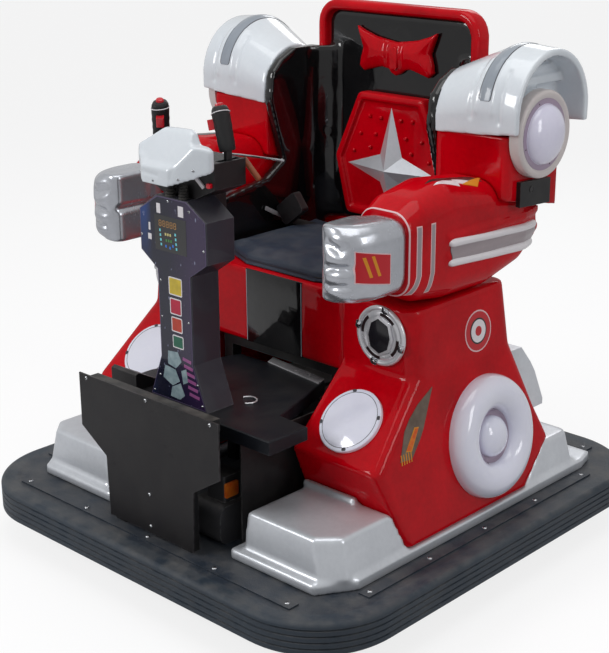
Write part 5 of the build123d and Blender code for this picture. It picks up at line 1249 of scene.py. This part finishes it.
# %% Foot design and labels
mist = finish("mist", (164, 184, 190), (112, 136, 146), 0.3, coat=0.3, mottle=0.9, mottle_scale=60.0, dust=0.1)
mauve = finish("mauve", (168, 96, 150), (132, 72, 128), 0.3, coat=0.3, mottle=0.7, mottle_scale=50.0, dust=0.1)
build("foot_design_pale", mist, *[(plate, above_deck(corners), column_place, 0.0006, 0.001)
    for corners in ([(-0.03, 0.436), (0.004, 0.44), (0.016, 0.418), (-0.004, 0.398), (-0.032, 0.404)],
                    [(-0.042, 0.398), (-0.006, 0.394), (0.008, 0.368), (-0.018, 0.352), (-0.05, 0.366)],
                    [(-0.02, 0.348), (0.01, 0.364), (0.024, 0.336), (0.006, 0.322), (-0.026, 0.324)],
                    [(0.014, 0.396), (0.032, 0.404), (0.036, 0.372), (0.02, 0.364)])])
bars = []
for i in range(6):
    low, near, far = 0.42 - i * 0.0165, 0.02 + i * 0.004, 0.049 + i * 0.005
    corners = [(near, low + 0.004), (far, low), (far + 0.001, low + 0.008), (near + 0.001, low + 0.012)]
    bars.append((plate, above_deck(corners), column_place, 0.0005, 0.0008))
build("foot_design_bars", mauve, *bars)
build("column_labels", stripe_white, *[(plate, oblong(half_x, half_z, 0.001, middle=(x, D + z)), column_place, 0.0006,
    0.0009) for x, z, half_x, half_z in ((-0.0445, 0.7755, 0.0065, 0.0115), (0.031, 0.7785, 0.009, 0.0125),
    (-0.078, 0.728, 0.003, 0.009), (-0.078, 0.704, 0.006, 0.007))])
print("column print laid")

# %% [markdown]
# ## Display
# The small window shows amber digits over rows of coloured lights. The digits are made of bars, as on any
# seven-segment display, and the lights are raised marks.

# %% Display digits and lights
def glowing(name, rgb, strength):
    material = finish(name, rgb, tuple(int(c * 0.8) for c in rgb), 0.3, mottle=0.3, dust=0.05)
    tree = material.node_tree
    shader = tree.nodes["Principled BSDF"]
    tree.links.new(shader.inputs["Base Color"].links[0].from_socket, shader.inputs["Emission Color"])
    shader.inputs["Emission Strength"].default_value = strength
    return material


amber_glow = glowing("amber_glow", (150, 112, 66), 0.35)
segments = [(-1, 0.5, 0), (1, 0.5, 0), (-1, -0.5, 0), (1, -0.5, 0), (0, 1, 1), (0, 0, 1), (0, -1, 1)]
bars = []
for digit in range(5):
    for sx, sz, lying in segments:
        half_x, half_z = (0.003, 0.0009) if lying else (0.0009, 0.0027)
        middle = (-0.04 + digit * 0.0125 + sx * 0.0038, D + 0.7415 + sz * 0.0066)
        bars.append((plate, oblong(half_x, half_z, 0.0007, 2, middle), column_place, 0.0009, 0.0013))
build("display_digits", amber_glow, *bars)
light_rows = {"cyan_glow": ((110, 190, 200), [(-0.041, 0.725), (-0.04, 0.714), (-0.039, 0.703), (-0.038, 0.692),
    (0.011, 0.722), (0.012, 0.711), (0.013, 0.7), (0.014, 0.689)]),
              "blue_glow": ((60, 110, 190), [(-0.022, 0.69), (-0.008, 0.688), (0.002, 0.694)]),
              "green_glow": ((70, 120, 70), [(-0.02, 0.704), (-0.012, 0.704), (-0.004, 0.704)]),
              "straw_glow": ((186, 176, 120), [(-0.022, 0.718), (-0.014, 0.718), (-0.006, 0.718)])}
for label, (rgb, rows) in light_rows.items():
    marks("display_" + label, rows_at(display_y, rows), (0.0046, 0.006, 0.001), glowing(label, rgb, 0.3),
          round_marks=False)
print("display lit")

# %% [markdown]
# ## Levers
# Each drive lever is a flat bar with a moulded grip: a swelling at the palm, shallow finger grooves, a white line
# under the cap, a red button on top and a red trigger. The grip is built from oval rings whose size follows a
# curve, so the swelling and the grooves come from one row of numbers.

# %% Levers
button_red = finish("button_red", (206, 14, 34), (170, 8, 24), 0.22, coat=0.6, mottle=0.3, dust=0.08)
grip_start, pivot_z = D + 0.914, D + 0.862
grip_rings = [(0.0, 0.8), (0.003, 0.9), (0.012, 0.92), (0.022, 0.96), (0.03, 0.93), (0.038, 0.97), (0.047, 0.94),
              (0.056, 1.0), (0.064, 0.97), (0.074, 1.0), (0.084, 0.99), (0.0925, 0.93), (0.0985, 0.78), (0.101, 0.55)]
lever_x, lever_y, grip_tilt = 0.104, -0.385, math.radians(14)
for side, sign, lean in (("left", 1, 0.0), ("right", -1, 13.0)):
    x = sign * lever_x
    pivot = Vector((x, lever_y, pivot_z))
    swing = Matrix.Translation(pivot) @ Matrix.Rotation(math.radians(lean), 4, "X") @ Matrix.Translation(-pivot)
    place = swing @ face_at((x, lever_y, grip_start), (math.cos(grip_tilt), 0, sign * math.sin(grip_tilt)), Y)
    body = "lever_" + side
    form = bmesh.new()
    skinned(form, [[form.verts.new(place @ Vector((x, y, height))) for x,
                    y in oval(0.0188 * size, 0.0218 * size, 32)] for height, size in grip_rings])
    made(f"lever_grip_{side}", form, grip_black, sharp=50, body=body, replaces=[f"lever_{side}"])
    blade = swing @ face_at((x, lever_y, 0), Y, Z)
    build(f"lever_bar_{side}", frame_black, (plate, oblong(0.008, 0.032, 0.003,
        middle=(0, (grip_start + pivot_z) / 2 + 0.002)), blade, -0.0048, 0.0048, 0.001),
          (turned, [(0.0052, -0.0049), (0.0128, -0.0049), (0.0128, 0.0049), (0.0052, 0.0049), (0.0052, -0.0049)],
           blade @ Matrix.Translation((0, pivot_z, 0)), 28), body=body)
    turn = place @ Matrix.Rotation(math.radians(-90 - sign * 45), 4, "Z")
    build(f"lever_red_{side}", button_red, (turned, [(0, 0.098), (0.009, 0.098), (0.0092, 0.1035), (0.0078, 0.1062),
        (0.0045, 0.107), (0, 0.1071)], place, 28), (rounded_block, oblong(0.011, 0.0088, 0.002, middle=(0.0212, 0)),
        0.0512, 0.0748, 0.0016, 3, turn), body=body)
    ring = [place @ Vector((0.019 * math.cos(math.tau * k / 40), 0.022 * math.sin(math.tau * k / 40),
        0.0845 + 0.005 * math.cos(math.tau * k / 40 + 0.6))) for k in range(41)]
    build(f"lever_line_{side}", stripe_white, (rod, ring, 0.0011, 8), sharp=80, body=body)
print("levers built")

# %% [markdown]
# ## Stage and light
# The floor is pale and the light is soft and even, as in a studio. One large lamp stands high at the left front,
# a weaker one at the right, and a wide one overhead. Light Path makes the background white to the camera without
# lighting the car any more. Reflections get about a third of that white, so that the paint stays deep.

# %% Floor and world
def seen_rays(tree):
    """1 for what the camera sees straight or through glass, and a third for what shines in the gloss."""
    path = add_node(tree, "ShaderNodeLightPath").outputs
    straight = maths(tree, "MAXIMUM", path["Is Camera Ray"], path["Is Transmission Ray"])
    return maths(tree, "MAXIMUM", straight, maths(tree, "MULTIPLY", path["Is Glossy Ray"], 0.35))


form = bmesh.new()
bmesh.ops.create_grid(form, x_segments=1, y_segments=1, size=14)
floor = link("studio_floor", mesh_of(form, "studio_floor"))
pale = bpy.data.materials.new("pale_floor")
pale.use_nodes = True
tree = pale.node_tree
shader = tree.nodes["Principled BSDF"]
shader.inputs["Roughness"].default_value = 0.75
seen = seen_rays(tree)
shader.inputs["Base Color"].default_value = (0.45, 0.45, 0.46, 1)
glow = add_node(tree, "ShaderNodeEmission", {"Color": (1, 1, 1, 1), "Strength": 1.6})
mixed = add_node(tree, "ShaderNodeMixShader", {0: maths(tree, "MULTIPLY", seen, 0.5), 1: shader.outputs[0],
    2: glow.outputs[0]})
tree.links.new(mixed.outputs[0], tree.nodes["Material Output"].inputs["Surface"])
floor.data.materials.append(pale)

world = bpy.data.worlds.new("studio_world")
bpy.context.scene.world = world
world.use_nodes = True
tree = world.node_tree
strength = maths(tree, "ADD", maths(tree, "MULTIPLY", seen_rays(tree), 0.66), 0.34)
background = tree.nodes["Background"]
background.inputs["Color"].default_value = (1, 1, 1, 1)
tree.links.new(strength, background.inputs["Strength"])

# %% Lamps
def lamp(name, place, aim, size, watts):
    light = bpy.data.lights.new(name, "AREA")
    light.shape = "RECTANGLE"
    light.size, light.size_y = size
    light.energy = watts
    holder = bpy.data.objects.new(name, light)
    holder.location = place
    holder.rotation_euler = (Vector(aim) - Vector(place)).to_track_quat("-Z", "Y").to_euler()
    bpy.context.scene.collection.objects.link(holder)


lamp("overhead", (0.3, -0.2, 3.6), (0, 0, 0.6), (2.6, 2.6), 36)
lamp("left_front", (-1.6, -3.6, 2.6), (0, 0, 0.6), (1.4, 1.4), 62)
lamp("right_side", (3.9, 0.2, 2.2), (0, 0, 0.6), (0.9, 2.0), 26)
lamp("behind", (-1.5, 3.4, 2.8), (0, 0, 0.9), (2.0, 1.2), 20)
